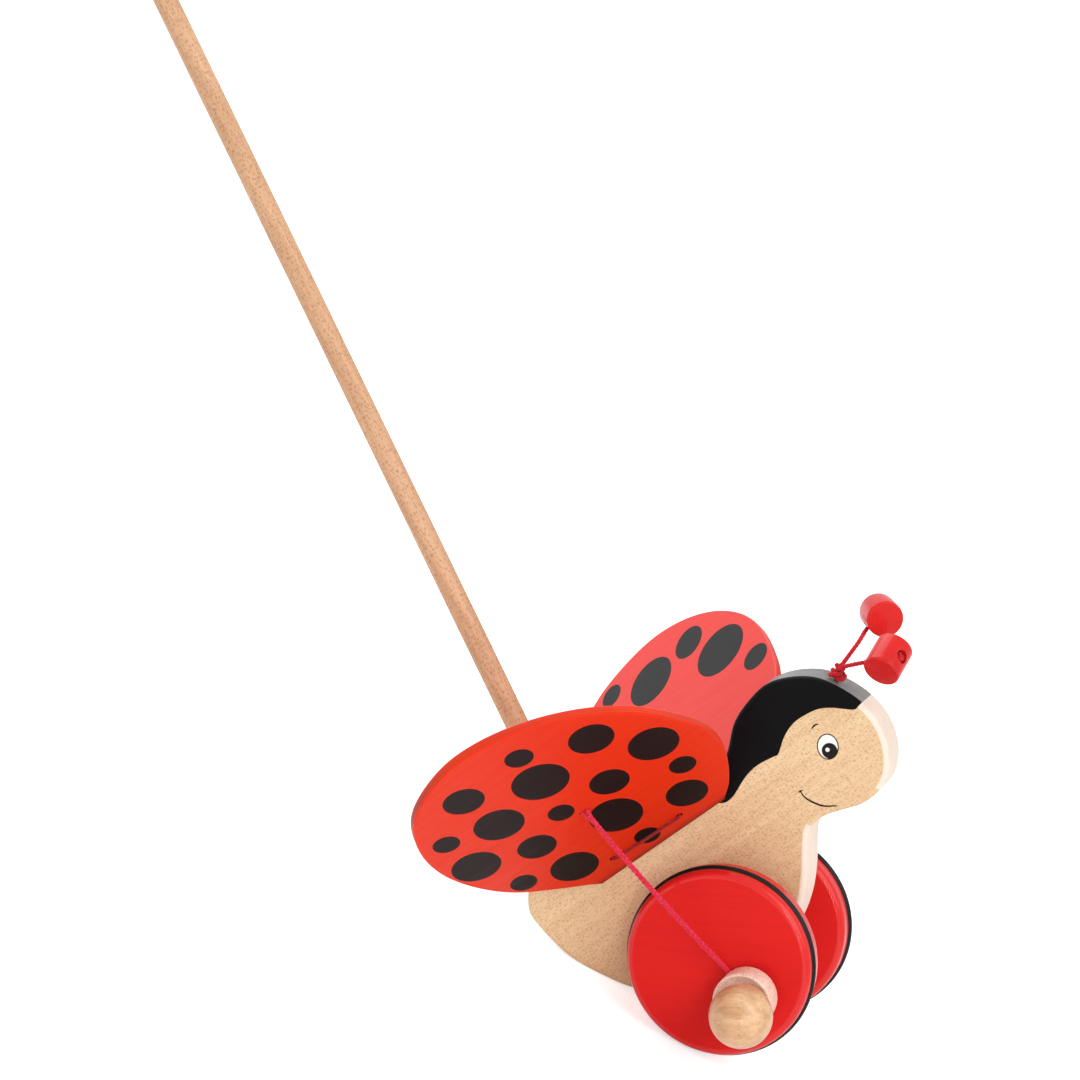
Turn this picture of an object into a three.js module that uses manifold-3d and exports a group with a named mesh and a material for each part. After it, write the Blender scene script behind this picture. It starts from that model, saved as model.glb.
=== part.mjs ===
// Ladybird push toy: a beech plank body on two red wheels, a long push stick, and two lacquered wings.
// Cords from spools on the wheels' crank pins pull the wings down; their hinge cord lifts them again.
// Units are millimetres. The toy is laid out with the axle at the origin, +X to the head, +Y to the
// toy's left and +Z up, as it stands while pushed. The last step tips it back until its rump rests.
import * as THREE from 'three';
import { mergeVertices } from 'three/addons/utils/BufferGeometryUtils.js';
import Module from 'manifold-3d';

const wasm = await Module();
wasm.setup();

// Clearances
const seatGap = 0.3;          // between pieces that touch or are glued
const runningGap = 0.3;       // round turning pins, on the radius
const overrun = 2;            // how far a cutter goes past a face

// Body plank
const bodyLength = 155.6;     // rump to forehead
const bodyHeight = 140;       // belly to crown
const plankThickness = 22;
const plankRounding = 3;
// Outline from the axle's centre: x as a share of bodyLength and z as a share of bodyHeight
const bodyOutlineShares = [
  [-0.027, 0.593], [-0.009, 0.680], [0.030, 0.748], [0.078, 0.801], [0.141, 0.826], [0.212, 0.829],
  [0.276, 0.804], [0.334, 0.765], [0.378, 0.714], [0.404, 0.654], [0.413, 0.593], [0.405, 0.540],
  [0.383, 0.500], [0.342, 0.462], [0.292, 0.440], [0.246, 0.420], [0.217, 0.398], [0.200, 0.370],
  [0.196, 0.314], [0.195, 0.250], [0.186, 0.164], [0.163, 0.084], [0.124, 0.006], [0.068, -0.066],
  [-0.010, -0.123], [-0.100, -0.156], [-0.193, -0.169], [-0.290, -0.159], [-0.364, -0.133],
  [-0.463, -0.083], [-0.548, -0.004], [-0.583, 0.044], [-0.589, 0.092], [-0.580, 0.150],
  [-0.546, 0.214], [-0.488, 0.261], [-0.411, 0.300], [-0.321, 0.354], [-0.231, 0.418],
  [-0.154, 0.471], [-0.087, 0.507], [-0.045, 0.545],
];
const bodyOutlineSteps = 100;

// Push stick
const stickDiameter = 10;
const stickLength = 485;
const stickLean = 27.4;       // degrees back from upright while pushed
const stickSeatDepth = 25;
const stickTipRounding = 3.2;
const stickMouthShares = [-0.478, 0.266];  // where its axis meets the rump, as the outline's shares

// Axle, wheels and tyre rings
const axleDiameter = 8;
const wheelDiameter = 78;
const wheelThickness = 16.6;
const wheelRounding = 3;
const wheelMiddle = 30.9;     // from the plank's middle to a wheel's middle
const axleSeatDepth = 9;      // blind bore in the wheel's inner face
const ringSection = 3;        // diameter of the rubber ring's section
const ringSeat = 0.3;         // how far the middle of the ring's section lies below the rim
const ringAside = 2.3;        // how far the ring lies outwards of the wheel's middle
const spacerDiameter = 14;    // sleeves that keep the wheels off the plank
const spacerRounding = 0.8;

// Crank on each wheel's outer face: pin, loose spool and ball
const crankThrow = 19.1;      // of the pin
const crankAngle = 36.9;      // degrees below +X at rest
const pinDiameter = 6;
const pinSeatInWheel = 8;
const pinSeatInBall = 13;
const spoolNeckDiameter = 13;
const spoolNeckLength = 2.9;
const spoolDiameter = 24.4;
const spoolLength = 14.7;     // neck and drum together
const spoolLip = 1;           // flat rim round the dish
const spoolDish = 4;          // depth of the dish that faces the ball
const spoolRounding = 0.6;
const spoolPlay = 1.1;        // how far the cord pulls the loose spool off the pin's middle
const ballDiameter = 25.9;
const ballNesting = 2.2;      // how far the ball reaches into the dish
const ballOffset = 2.2;       // the ball's bore lies off its middle

// Wings
const wingLength = 122;       // along the body
const wingSpan = 148;         // from the hinge edge to the tip
const wingThickness = 4;
const wingRounding = 1.1;
const wingRise = 29.5;        // degrees above level, pulled fully down
const hingeSlope = 37.3;      // degrees that the hinge line rises to the head
const hingeRearShares = [-0.390, 0.197];   // rear end of the hinge axis, as the outline's shares
// Outline from the rear end of the hinge edge: along the wing and out from the edge
const wingOutlineShares = [
  [0.100, -0.040], [0.510, -0.040], [0.549, 0.006], [0.612, 0.064], [0.694, 0.172], [0.750, 0.271],
  [0.777, 0.385], [0.768, 0.503], [0.725, 0.672], [0.644, 0.809], [0.524, 0.918], [0.385, 0.983],
  [0.245, 1.000], [0.105, 0.966], [-0.035, 0.888], [-0.144, 0.753], [-0.209, 0.588], [-0.220, 0.420],
  [-0.185, 0.257], [-0.113, 0.141], [-0.033, 0.036], [0.010, -0.020],
];
const wingOutlineSteps = 62;

// Cords
const hingeCordDiameter = 2.2;
const pullCordDiameter = 2.8; // two strands laid together
const strandDiameter = 1.5;
const cordSides = 8;
const hingeHoleShares = [[0.119, 0.093], [0.403, 0.079]];   // rear and front, as the wing outline's
const hingeBend = 1.6;        // of the cord's path where it turns into a hole
const hingeMouthDiameter = 6.6;   // countersunk mouths of the cord bores in the plank
const hingeMouthDepth = 0.9;
const hingeCoreInset = 1.4;   // how far the core's ends lie inside the plank's sides
const pullHoleShares = [0.268, 0.4115];    // middle of the pair, as the wing outline's
const pullHoleSpacing = 2.8;
const strandBend = 0.6;
const stitchDrop = 0.8;       // of the strands below the wing before they turn to each other
const stitchReach = 4;        // from the wing to where the strands join
const stitchTail = 1.2;
const loopClearOfDrum = 2;    // beyond the drum's edge, where the pull cord turns to the wing
const loopBelow = 1.5;        // how far under the spool's middle the cord leaves its loop

// Rest pose
const steepestTip = 60;       // degrees, more than the toy tips back

// Antennae
const beadDiameter = 15.4;
const beadLength = 15;
const beadRounding = 1;
const feelerDiameter = 2.1;
const feelerPlugDepth = 12;   // cord end in the head
const knotLength = 8.4;       // knot on the crown, along, across and above it
const knotWidth = 6.4;
const knotHeight = 4.8;
const knotAside = 2.5;        // how far the knot lies to the toy's right
const splitKnotDiameter = 4.2;    // second knot, where the two feelers part
const splitKnotRise = 3.4;    // from the middle of the first knot
const feelerTail = 0.8;       // cord end beyond the bead
const feelerBendShare = 0.25; // of the reach, where the cord's bow starts and ends
const crownSlope = 20.4;      // degrees that the crown falls to the front under the knot
const crownShares = [0.2526, 0.8139];      // foot of the knot, as the outline's shares
// Per side: reach from knot to bead, cord's rise above the straight line, and two directions
const feelers = {
  right: { reach: 26.1, bow: 0.3, cordShares: [0.858, -0.441, 0.261], beadShares: [0.10, 0.84, 0.53] },
  left: { reach: 29, bow: 0.8, cordShares: [0.459, 0.570, 0.680], beadShares: [-0.34, 0.93, -0.08] },
};

// Facets round a form
const wheelFacets = 40;
const roundFacets = 22;
const boreFacets = 12;
const roundingSteps = 2;      // across a rounded edge
const shoulderSteps = 3;      // across a wheel's rounded shoulder
const grooveSteps = 5;
const dishSteps = 4;
const bendSteps = 4;          // in a cord's bend
const hingeCordSteps = 30;
const strandSteps = 20;
const pullCordSteps = 12;
const feelerSteps = 10;
const tipHalvings = 40;       // in the search for the rest pose

// Looks: red, green, blue and roughness
const beech = [0.80, 0.60, 0.40, 0.6];
const stickBeech = [0.67, 0.38, 0.18, 0.6];
const ballBeech = [0.76, 0.49, 0.23, 0.55];
const spoolBeech = [0.76, 0.46, 0.28, 0.55];
const wheelRed = [0.74, 0.02, 0.02, 0.35];
const wingRed = [0.78, 0.04, 0.01, 0.25];
const beadRed = [0.76, 0.02, 0.02, 0.2];
const ringBlack = [0.01, 0.01, 0.01, 0.6];
const cordRed = [0.70, 0.02, 0.07, 0.85];

function piece(name, geometry, [red, green, blue, roughness]) {
  const color = new THREE.Color(red, green, blue);
  const mesh = new THREE.Mesh(geometry, new THREE.MeshStandardMaterial({ color, roughness, metalness: 0 }));
  mesh.name = name;
  return mesh;
}

// Solids and booleans
function solid(geometry) {
  const bare = geometry.index ? geometry.toNonIndexed() : geometry.clone();
  for (const name of Object.keys(bare.attributes)) {
    if (name !== 'position') bare.deleteAttribute(name);
  }
  const merged = mergeVertices(bare);
  return new wasm.Manifold(new wasm.Mesh({
    numProp: 3,
    vertProperties: new Float32Array(merged.attributes.position.array),
    triVerts: new Uint32Array(merged.index.array),
  }));
}

function fromSolid(manifold) {
  const mesh = manifold.getMesh();
  const geometry = new THREE.BufferGeometry();
  geometry.setAttribute('position', new THREE.BufferAttribute(new Float32Array(mesh.vertProperties), 3));
  geometry.setIndex(new THREE.BufferAttribute(new Uint32Array(mesh.triVerts), 1));
  geometry.computeVertexNormals();
  return geometry;
}

function cut(geometry, cutters) {
  return fromSolid(cutters.reduce((body, cutter) => body.subtract(solid(cutter)), solid(geometry)));
}

function join(first, second) {
  return fromSolid(solid(first).add(solid(second)));
}

// The other hand of a piece, turned over in y
function mirrored(geometry) {
  return fromSolid(solid(geometry).mirror([0, 1, 0]));
}

// Forms
const up = new THREE.Vector3(0, 0, 1);
const across = new THREE.Vector3(0, 1, 0);
const radians = THREE.MathUtils.degToRad;

function turned(profile, facets) {
  return new THREE.LatheGeometry(profile.map(([r, y]) => new THREE.Vector2(r, y)), facets);
}

// Points of an arc in a turned profile, between two angles in degrees
function arc(centreR, centreY, radius, from, to, steps) {
  const points = [];
  for (let i = 0; i <= steps; i += 1) {
    const angle = radians(from + (to - from) * i / steps);
    points.push([centreR + radius * Math.cos(angle), centreY + radius * Math.sin(angle)]);
  }
  return points;
}

// A round rod from a point along a direction
function rod(diameter, length, facets, start, direction) {
  const turn = new THREE.Quaternion().setFromUnitVectors(across, direction.clone().normalize());
  return new THREE.CylinderGeometry(diameter / 2, diameter / 2, length, facets)
    .translate(0, length / 2, 0)
    .applyQuaternion(turn)
    .translate(start.x, start.y, start.z);
}

// Straight runs between corners, with a round bend of the given reach at each inner corner
function bentPath(corners, bend) {
  const points = [corners[0]];
  for (let i = 1; i < corners.length - 1; i += 1) {
    const toward = (corner) => corner.clone().sub(corners[i]).setLength(bend).add(corners[i]);
    const turn = new THREE.QuadraticBezierCurve3(toward(corners[i - 1]), corners[i], toward(corners[i + 1]));
    points.push(...turn.getPoints(bendSteps));
  }
  points.push(corners[corners.length - 1]);
  const path = new THREE.CurvePath();
  for (let i = 1; i < points.length; i += 1) path.add(new THREE.LineCurve3(points[i - 1], points[i]));
  return path;
}

function cord(path, diameter, steps) {
  const section = [];
  for (let i = 0; i < cordSides; i += 1) {
    const angle = 2 * Math.PI * i / cordSides;
    section.push(new THREE.Vector2(diameter / 2 * Math.cos(angle), diameter / 2 * Math.sin(angle)));
  }
  return new THREE.ExtrudeGeometry(new THREE.Shape(section), { steps, bevelEnabled: false, extrudePath: path });
}

// A flat plate with rounded edges, standing on z = 0
function plate(points, thickness, rounding) {
  return new THREE.ExtrudeGeometry(new THREE.Shape(points), {
    depth: thickness - 2 * rounding,
    bevelThickness: rounding,
    bevelSize: rounding,
    bevelOffset: -rounding,
    bevelSegments: roundingSteps,
    steps: 1,
  }).translate(0, 0, rounding);
}

// A closed smooth outline through the control points
function smoothOutline(controls, steps) {
  const curve = new THREE.CatmullRomCurve3(
    controls.map(([x, y]) => new THREE.Vector3(x, y, 0)), true, 'centripetal');
  return curve.getSpacedPoints(steps).slice(0, -1).map((p) => new THREE.Vector2(p.x, p.y));
}

// Places that several pieces share
const onBody = ([x, z]) => new THREE.Vector3(x * bodyLength, 0, z * bodyHeight);
const side = plankThickness / 2;
const wheelInner = wheelMiddle - wheelThickness / 2;
const wheelOuter = wheelMiddle + wheelThickness / 2;
const ringCentre = wheelDiameter / 2 - ringSeat;
const bodyOutline = smoothOutline(
  bodyOutlineShares.map(([x, z]) => [x * bodyLength, z * bodyHeight]), bodyOutlineSteps);

const stickAxis = new THREE.Vector3(-Math.sin(radians(stickLean)), 0, Math.cos(radians(stickLean)));
const stickFoot = onBody(stickMouthShares).addScaledVector(stickAxis, -stickSeatDepth);

// Hinge axis: through the cords' middles, just above the wing's top face and just off the plank
const hingeRear = onBody(hingeRearShares);
const hingeAlong = new THREE.Vector3(Math.cos(radians(hingeSlope)), 0, Math.sin(radians(hingeSlope)));
const hingeOut = side + seatGap;
const wingTop = -hingeCordDiameter / 2 - seatGap;
const wingUnder = wingTop - wingThickness;
const hingeEdge = wingUnder * Math.tan(radians(wingRise));
const onWing = ([along, out]) => [along * wingLength, out * wingSpan + hingeEdge];
const hingeHoles = hingeHoleShares.map(onWing);
const hingeBores = hingeHoles.map(([along]) => hingeRear.clone().addScaledVector(hingeAlong, along));
const hingeBoreDiameter = hingeCordDiameter + 2 * seatGap;
const [pullAlong, pullOut] = onWing(pullHoleShares);
const pullHoles = [-pullHoleSpacing / 2, pullHoleSpacing / 2].map((shift) => [pullAlong + shift, pullOut]);

// Crown: the middles of the two knots and the way that the cord's end goes in
const crown = onBody(crownShares);
const crownNormal = new THREE.Vector3(Math.sin(radians(crownSlope)), 0, Math.cos(radians(crownSlope)));
const knotMiddle = crown.clone().addScaledVector(crownNormal, knotHeight / 2 + seatGap).setY(-knotAside);
const splitMiddle = knotMiddle.clone().addScaledVector(crownNormal, splitKnotRise);

// Crank: the way from the axle to the pin, and the middle of the slot where the cord's loop lies
const crankDirection = new THREE.Vector3(Math.cos(radians(crankAngle)), 0, -Math.sin(radians(crankAngle)));
const spoolStart = wheelOuter + seatGap;
const loopOut = (wheelOuter + spoolStart + spoolNeckLength) / 2;
const ballMiddle = spoolStart + spoolLength - ballNesting + ballDiameter / 2;

// Body plank with its bores for axle, stick, hinge cord and antenna cord
function bodyGeometry() {
  const plank = plate(bodyOutline, plankThickness, plankRounding).rotateX(Math.PI / 2).translate(0, side, 0);
  const through = plankThickness + 2 * overrun;
  const farSide = new THREE.Vector3(0, -through / 2, 0);
  const cutters = [
    rod(axleDiameter + 2 * runningGap, through, roundFacets, farSide, across),
    rod(stickDiameter + 2 * seatGap, 2 * stickSeatDepth, roundFacets,
      stickFoot.clone().addScaledVector(stickAxis, -seatGap), stickAxis),
    rod(feelerDiameter + 2 * seatGap, feelerPlugDepth + overrun, boreFacets,
      crown.clone().addScaledVector(crownNormal, -feelerPlugDepth), crownNormal),
  ];
  const r = hingeBoreDiameter / 2;
  const flare = (hingeMouthDiameter / 2 - r) / hingeMouthDepth;
  const mouth = turned([
    [0, side - hingeMouthDepth], [r, side - hingeMouthDepth],
    [r + flare * (hingeMouthDepth + overrun), side + overrun], [0, side + overrun],
  ], boreFacets);
  const farMouth = mouth.clone().rotateX(Math.PI);
  for (const bore of hingeBores) {
    cutters.push(rod(hingeBoreDiameter, through, boreFacets, bore.clone().add(farSide), across));
    cutters.push(mouth.clone().translate(bore.x, 0, bore.z));
    cutters.push(farMouth.clone().translate(bore.x, 0, bore.z));
  }
  return cut(plank, cutters);
}

// Push stick, turned about Y from its foot, with a rounded free end
function stickGeometry() {
  const r = stickDiameter / 2;
  const tip = arc(r - stickTipRounding, stickLength - stickTipRounding, stickTipRounding, 0, 90, shoulderSteps);
  return turned([[0, 0], [r, 0], ...tip, [0, stickLength]], roundFacets);
}

// Wheel, turned about Y with its outer face to +Y: rounded rim, ring groove and two blind bores
function wheelGeometry() {
  const r = wheelDiameter / 2;
  const half = wheelThickness / 2;
  const groove = ringSection / 2 + seatGap;
  const open = THREE.MathUtils.radToDeg(Math.acos(ringSeat / groove));
  const disc = turned([
    [0, -half],
    ...arc(r - wheelRounding, wheelRounding - half, wheelRounding, -90, 0, shoulderSteps),
    ...arc(ringCentre, ringAside, groove, -open, open - 360, grooveSteps),
    ...arc(r - wheelRounding, half - wheelRounding, wheelRounding, 0, 90, shoulderSteps),
    [0, half],
  ], wheelFacets);
  const axleBore = rod(axleDiameter + 2 * seatGap, axleSeatDepth + overrun, roundFacets,
    new THREE.Vector3(0, -half - overrun, 0), across);
  const pinBore = rod(pinDiameter + 2 * seatGap, pinSeatInWheel + overrun, roundFacets,
    crankDirection.clone().multiplyScalar(crankThrow).setY(half - pinSeatInWheel), across);
  return cut(disc, [axleBore, pinBore]);
}

function ringGeometry() {
  return new THREE.TorusGeometry(ringCentre, ringSection / 2, cordSides, wheelFacets).rotateX(Math.PI / 2);
}

// Sleeve between plank and wheel, centred on its length
function spacerGeometry() {
  const bore = axleDiameter / 2 + runningGap;
  const r = spacerDiameter / 2;
  const half = (wheelInner - side) / 2 - seatGap;
  return turned([
    [bore, -half],
    ...arc(r - spacerRounding, spacerRounding - half, spacerRounding, -90, 0, roundingSteps),
    ...arc(r - spacerRounding, half - spacerRounding, spacerRounding, 0, 90, roundingSteps),
    [bore, half], [bore, -half],
  ], roundFacets);
}

// Spool, loose on the crank pin, from its neck at y = 0 to the dish that faces the ball
function spoolGeometry() {
  const bore = pinDiameter / 2 + runningGap + spoolPlay;
  const r = spoolDiameter / 2;
  const rim = r - spoolLip;
  // The dish is a hollow of a sphere through the rim, as deep on the axis as spoolDish says
  const dishRadius = (rim * rim + spoolDish * spoolDish) / (2 * spoolDish);
  const dishCentre = spoolLength - spoolDish + dishRadius;
  const dish = [];
  for (let i = 0; i <= dishSteps; i += 1) {
    const radius = rim + (bore - rim) * i / dishSteps;
    dish.push([radius, dishCentre - Math.sqrt(dishRadius * dishRadius - radius * radius)]);
  }
  return turned([
    [bore, 0], [spoolNeckDiameter / 2, 0], [spoolNeckDiameter / 2, spoolNeckLength],
    [r - spoolRounding, spoolNeckLength], [r, spoolNeckLength + spoolRounding],
    [r, spoolLength - spoolRounding], [r - spoolRounding, spoolLength], ...dish, [bore, 0],
  ], roundFacets);
}

// Ball, its bore's mouth towards the wheel
function ballGeometry() {
  const r = ballDiameter / 2;
  const mouth = crankDirection.clone().multiplyScalar(-ballOffset).setY(-r - overrun);
  const bore = rod(pinDiameter + 2 * seatGap, pinSeatInBall + seatGap + overrun, roundFacets, mouth, across);
  return cut(new THREE.SphereGeometry(r, roundFacets, roundFacets / 2), [bore]);
}

// Wing in its own frame: the hinge axis is X, outward is +Y or -Y, and the top face looks to +Z
function wingGeometry(outward) {
  const outline = smoothOutline(wingOutlineShares.map(onWing), wingOutlineSteps)
    .map((p) => new THREE.Vector2(p.x, outward * p.y));
  const blank = plate(outline, wingThickness, wingRounding).translate(0, 0, wingUnder);
  // Whatever lies inboard of the plank's side goes, which leaves the bevelled hinge edge
  const plankSide = new THREE.BoxGeometry(2 * wingLength, wingSpan, wingSpan)
    .translate(0, -outward * wingSpan / 2, 0)
    .rotateX(-outward * radians(wingRise));
  const hole = (diameter) => ([along, out]) => rod(diameter, wingThickness + 2 * overrun, boreFacets,
    new THREE.Vector3(along, outward * out, wingUnder - overrun), up);
  return cut(blank, [
    plankSide, ...hingeHoles.map(hole(hingeBoreDiameter)), ...pullHoles.map(hole(strandDiameter + 2 * seatGap)),
  ]);
}

// Hinge cord of one wing: out of the plank, over the wing, down a hole, along the underside and back
function hingeCordGeometry(outward) {
  const under = wingUnder - hingeCordDiameter / 2 - seatGap;
  const at = ([along, out], height) => new THREE.Vector3(along, outward * out, height);
  const mouth = ([along]) => new THREE.Vector3(along, 0, 0);
  const [rear, front] = hingeHoles;
  const corners = [mouth(rear), at(rear, 0), at(rear, under), at(front, under), at(front, 0), mouth(front)];
  return cord(bentPath(corners, hingeBend), hingeCordDiameter, hingeCordSteps);
}

// Pull cord's strands through the wing, from where they join below it; aim is the way to the spool
function stitchGeometry(outward, aim) {
  const middle = new THREE.Vector3(pullAlong, outward * pullOut, wingUnder);
  const joinAt = middle.clone().addScaledVector(aim, stitchReach);
  const over = wingTop + seatGap + strandDiameter / 2;
  const at = ([along, out], height) => new THREE.Vector3(along, outward * out, height);
  const foot = (hole) => at(hole, wingUnder).sub(middle).setLength((strandDiameter - seatGap) / 2).add(joinAt);
  const [rear, front] = pullHoles;
  const strands = cord(bentPath([
    foot(rear), at(rear, wingUnder - stitchDrop), at(rear, over),
    at(front, over), at(front, wingUnder - stitchDrop), foot(front),
  ], strandBend), strandDiameter, strandSteps);
  const tailStart = joinAt.clone().addScaledVector(aim, -stitchTail);
  return join(strands, rod(pullCordDiameter, 2 * stitchTail, cordSides, tailStart, aim));
}

// Pull cord: a loop round the spool's neck, past the drum's edge and straight to the strands' join
function pullCordGeometry(neck, end) {
  const level = end.clone().sub(neck).setY(0).normalize();
  const inner = spoolNeckDiameter / 2 + seatGap;
  const leave = neck.clone().addScaledVector(new THREE.Vector3(-level.z, 0, level.x), loopBelow);
  const start = leave.clone().addScaledVector(level, inner + seatGap / 2);
  const turn = leave.clone().addScaledVector(level, spoolDiameter / 2 + loopClearOfDrum);
  const loop = new THREE.TorusGeometry(inner + strandDiameter / 2, strandDiameter / 2, cordSides, roundFacets)
    .rotateX(Math.PI / 2).translate(neck.x, neck.y, neck.z);
  return join(cord(bentPath([start, turn, end], hingeBend), pullCordDiameter, pullCordSteps), loop);
}

// Cord and cross-bored bead of one antenna
function feelerGeometries({ reach, bow, cordShares, beadShares }) {
  const toBead = new THREE.Vector3(...cordShares).normalize();
  const middle = splitMiddle.clone().addScaledVector(toBead, reach);
  const start = splitMiddle.clone().addScaledVector(toBead, splitKnotDiameter / 2 + seatGap);
  const bend = start.clone().add(middle).divideScalar(2).addScaledVector(up, bow);
  const last = middle.clone().sub(bend).normalize();
  const end = middle.clone().addScaledVector(last, beadDiameter / 2 + feelerTail);
  const feeler = cord(bentPath([start, bend, end], reach * feelerBendShare), feelerDiameter, feelerSteps);

  const r = beadDiameter / 2;
  const half = beadLength / 2;
  const axis = new THREE.Vector3(...beadShares);
  axis.addScaledVector(last, -axis.dot(last)).normalize();
  const blank = turned([
    [0, -half],
    ...arc(r - beadRounding, beadRounding - half, beadRounding, -90, 0, roundingSteps),
    ...arc(r - beadRounding, half - beadRounding, beadRounding, 0, 90, roundingSteps),
    [0, half],
  ], roundFacets)
    .applyQuaternion(new THREE.Quaternion().setFromUnitVectors(across, axis))
    .translate(middle.x, middle.y, middle.z);
  const bore = rod(feelerDiameter + 2 * seatGap, beadDiameter + 2 * overrun, boreFacets,
    middle.clone().addScaledVector(last, -r - overrun), last);
  return { feeler, bead: cut(blank, [bore]) };
}

// Antenna knots on the crown, with the cord's end plugged into the head
function knotGeometry() {
  const ball = (diameter) => new THREE.SphereGeometry(diameter / 2, boreFacets, cordSides);
  const lower = ball(knotHeight).scale(knotLength / knotHeight, knotWidth / knotHeight, 1)
    .rotateY(radians(crownSlope)).translate(knotMiddle.x, knotMiddle.y, knotMiddle.z);
  const upper = ball(splitKnotDiameter).translate(splitMiddle.x, splitMiddle.y, splitMiddle.z);
  const start = crown.clone().addScaledVector(crownNormal, seatGap - feelerPlugDepth);
  const plug = rod(feelerDiameter, feelerPlugDepth + knotHeight / 2, cordSides, start, crownNormal);
  return join(join(lower, upper), plug);
}

// Rest pose: tipped back about the axle until the rump's lowest point is level with the rings'
function restPitch() {
  const floor = -ringCentre - ringSection / 2;
  const lowest = (pitch) => Math.min(
    ...bodyOutline.map((p) => p.x * Math.sin(pitch) + p.y * Math.cos(pitch)));
  let level = 0;
  let tipped = radians(steepestTip);
  for (let i = 0; i < tipHalvings; i += 1) {
    const middle = (level + tipped) / 2;
    if (lowest(middle) > floor) level = middle;
    else tipped = middle;
  }
  return level;
}

// Plank, stick, axle, cord cores and antenna knot
const toy = new THREE.Group();
toy.add(piece('body', bodyGeometry(), beech));

const stick = piece('push_stick', stickGeometry(), stickBeech);
stick.position.copy(stickFoot);
stick.quaternion.setFromUnitVectors(across, stickAxis);
toy.add(stick);

const axleEnd = wheelInner + axleSeatDepth - seatGap;
const axleStart = new THREE.Vector3(0, -axleEnd, 0);
toy.add(piece('axle', rod(axleDiameter, 2 * axleEnd, roundFacets, axleStart, across), beech));

['rear', 'front'].forEach((label, i) => {
  const length = plankThickness - 2 * hingeCoreInset;
  const start = hingeBores[i].clone().setY(-length / 2);
  toy.add(piece(`hinge_cord_${label}_core`, rod(hingeCordDiameter, length, cordSides, start, across), cordRed));
});

toy.add(piece('antenna_knot', knotGeometry(), cordRed));

// Both sides: wheel with its crank, wing with its cords, and antenna
for (const [label, outward] of [['right', -1], ['left', 1]]) {
  // Turned pieces are made with their outer end to +Y, so the right side takes the other hand
  const place = (name, geometry, finish, throwOut, out) => {
    const mesh = piece(`${label}_${name}`, outward < 0 ? mirrored(geometry) : geometry, finish);
    mesh.position.copy(crankDirection).multiplyScalar(throwOut).setY(outward * out);
    toy.add(mesh);
  };
  place('wheel', wheelGeometry(), wheelRed, 0, wheelMiddle);
  place('tyre_ring', ringGeometry(), ringBlack, 0, wheelMiddle + ringAside);
  place('axle_spacer', spacerGeometry(), beech, 0, (side + wheelInner) / 2);
  const pinStart = wheelOuter - pinSeatInWheel + seatGap;
  const pinLength = ballMiddle - ballDiameter / 2 + pinSeatInBall - pinStart;
  const pin = rod(pinDiameter, pinLength, roundFacets, new THREE.Vector3(), across);
  place('crank_pin', pin, beech, crankThrow, pinStart);
  place('crank_spool', spoolGeometry(), spoolBeech, crankThrow - spoolPlay, spoolStart);
  place('crank_ball', ballGeometry(), ballBeech, crankThrow + ballOffset, ballMiddle);

  const wingSide = new THREE.Group();
  wingSide.position.copy(hingeRear).setY(outward * hingeOut);
  wingSide.rotation.set(outward * radians(wingRise), -radians(hingeSlope), 0, 'YXZ');
  wingSide.updateMatrixWorld(true);
  const neck = crankDirection.clone().multiplyScalar(crankThrow - spoolPlay).setY(outward * loopOut);
  const under = new THREE.Vector3(pullAlong, outward * pullOut, wingUnder);
  const aim = wingSide.worldToLocal(neck.clone()).sub(under).normalize();
  wingSide.add(piece(`${label}_wing`, wingGeometry(outward), wingRed));
  wingSide.add(piece(`${label}_hinge_cord`, hingeCordGeometry(outward), cordRed));
  wingSide.add(piece(`${label}_pull_stitch`, stitchGeometry(outward, aim), cordRed));
  toy.add(wingSide);

  const end = wingSide.localToWorld(under.addScaledVector(aim, stitchReach + stitchTail + seatGap));
  toy.add(piece(`${label}_pull_cord`, pullCordGeometry(neck, end), cordRed));

  const { feeler, bead } = feelerGeometries(feelers[label]);
  toy.add(piece(`${label}_antenna_cord`, feeler, cordRed));
  toy.add(piece(`${label}_antenna_bead`, bead, beadRed));
}

// Stand the toy on the floor, with the middle of its length over the origin
toy.rotation.y = -restPitch();
const model = new THREE.Group();
model.add(toy);
model.updateMatrixWorld(true);
const bounds = new THREE.Box3().setFromObject(model, true);
toy.position.set(-(bounds.min.x + bounds.max.x) / 2, 0, -bounds.min.z);
model.updateMatrixWorld(true);

export default model;
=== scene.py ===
"""Looks of the wooden ladybird push toy.

Lengths are in millimetres in the toy's own frame, with the axle at the origin, +X to the head,
+Y to the toy's left and +Z up, as it stands while pushed. TOY takes that frame to the part's
frame, which is in metres and has the toy tipped back on the floor.
"""
import math

import bmesh
import bpy
from mathutils import Matrix, Vector
from mathutils.geometry import delaunay_2d_cdt


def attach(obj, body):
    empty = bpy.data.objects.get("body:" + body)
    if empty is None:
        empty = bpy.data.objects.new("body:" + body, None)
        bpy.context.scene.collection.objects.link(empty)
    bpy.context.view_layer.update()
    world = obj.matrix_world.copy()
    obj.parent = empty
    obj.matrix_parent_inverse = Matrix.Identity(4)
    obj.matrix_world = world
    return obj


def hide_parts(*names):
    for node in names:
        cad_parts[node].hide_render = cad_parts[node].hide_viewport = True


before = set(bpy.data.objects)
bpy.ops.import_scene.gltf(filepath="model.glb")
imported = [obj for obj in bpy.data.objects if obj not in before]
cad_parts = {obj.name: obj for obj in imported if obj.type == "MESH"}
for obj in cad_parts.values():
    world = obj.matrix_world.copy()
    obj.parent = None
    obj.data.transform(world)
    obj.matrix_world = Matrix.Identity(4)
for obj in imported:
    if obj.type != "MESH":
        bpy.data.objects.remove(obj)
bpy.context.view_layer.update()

MM = 0.001
AXLE_PLACE = (0.2016678, 0, 0.0402)
TIP_BACK = math.radians(23.820756)
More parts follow.
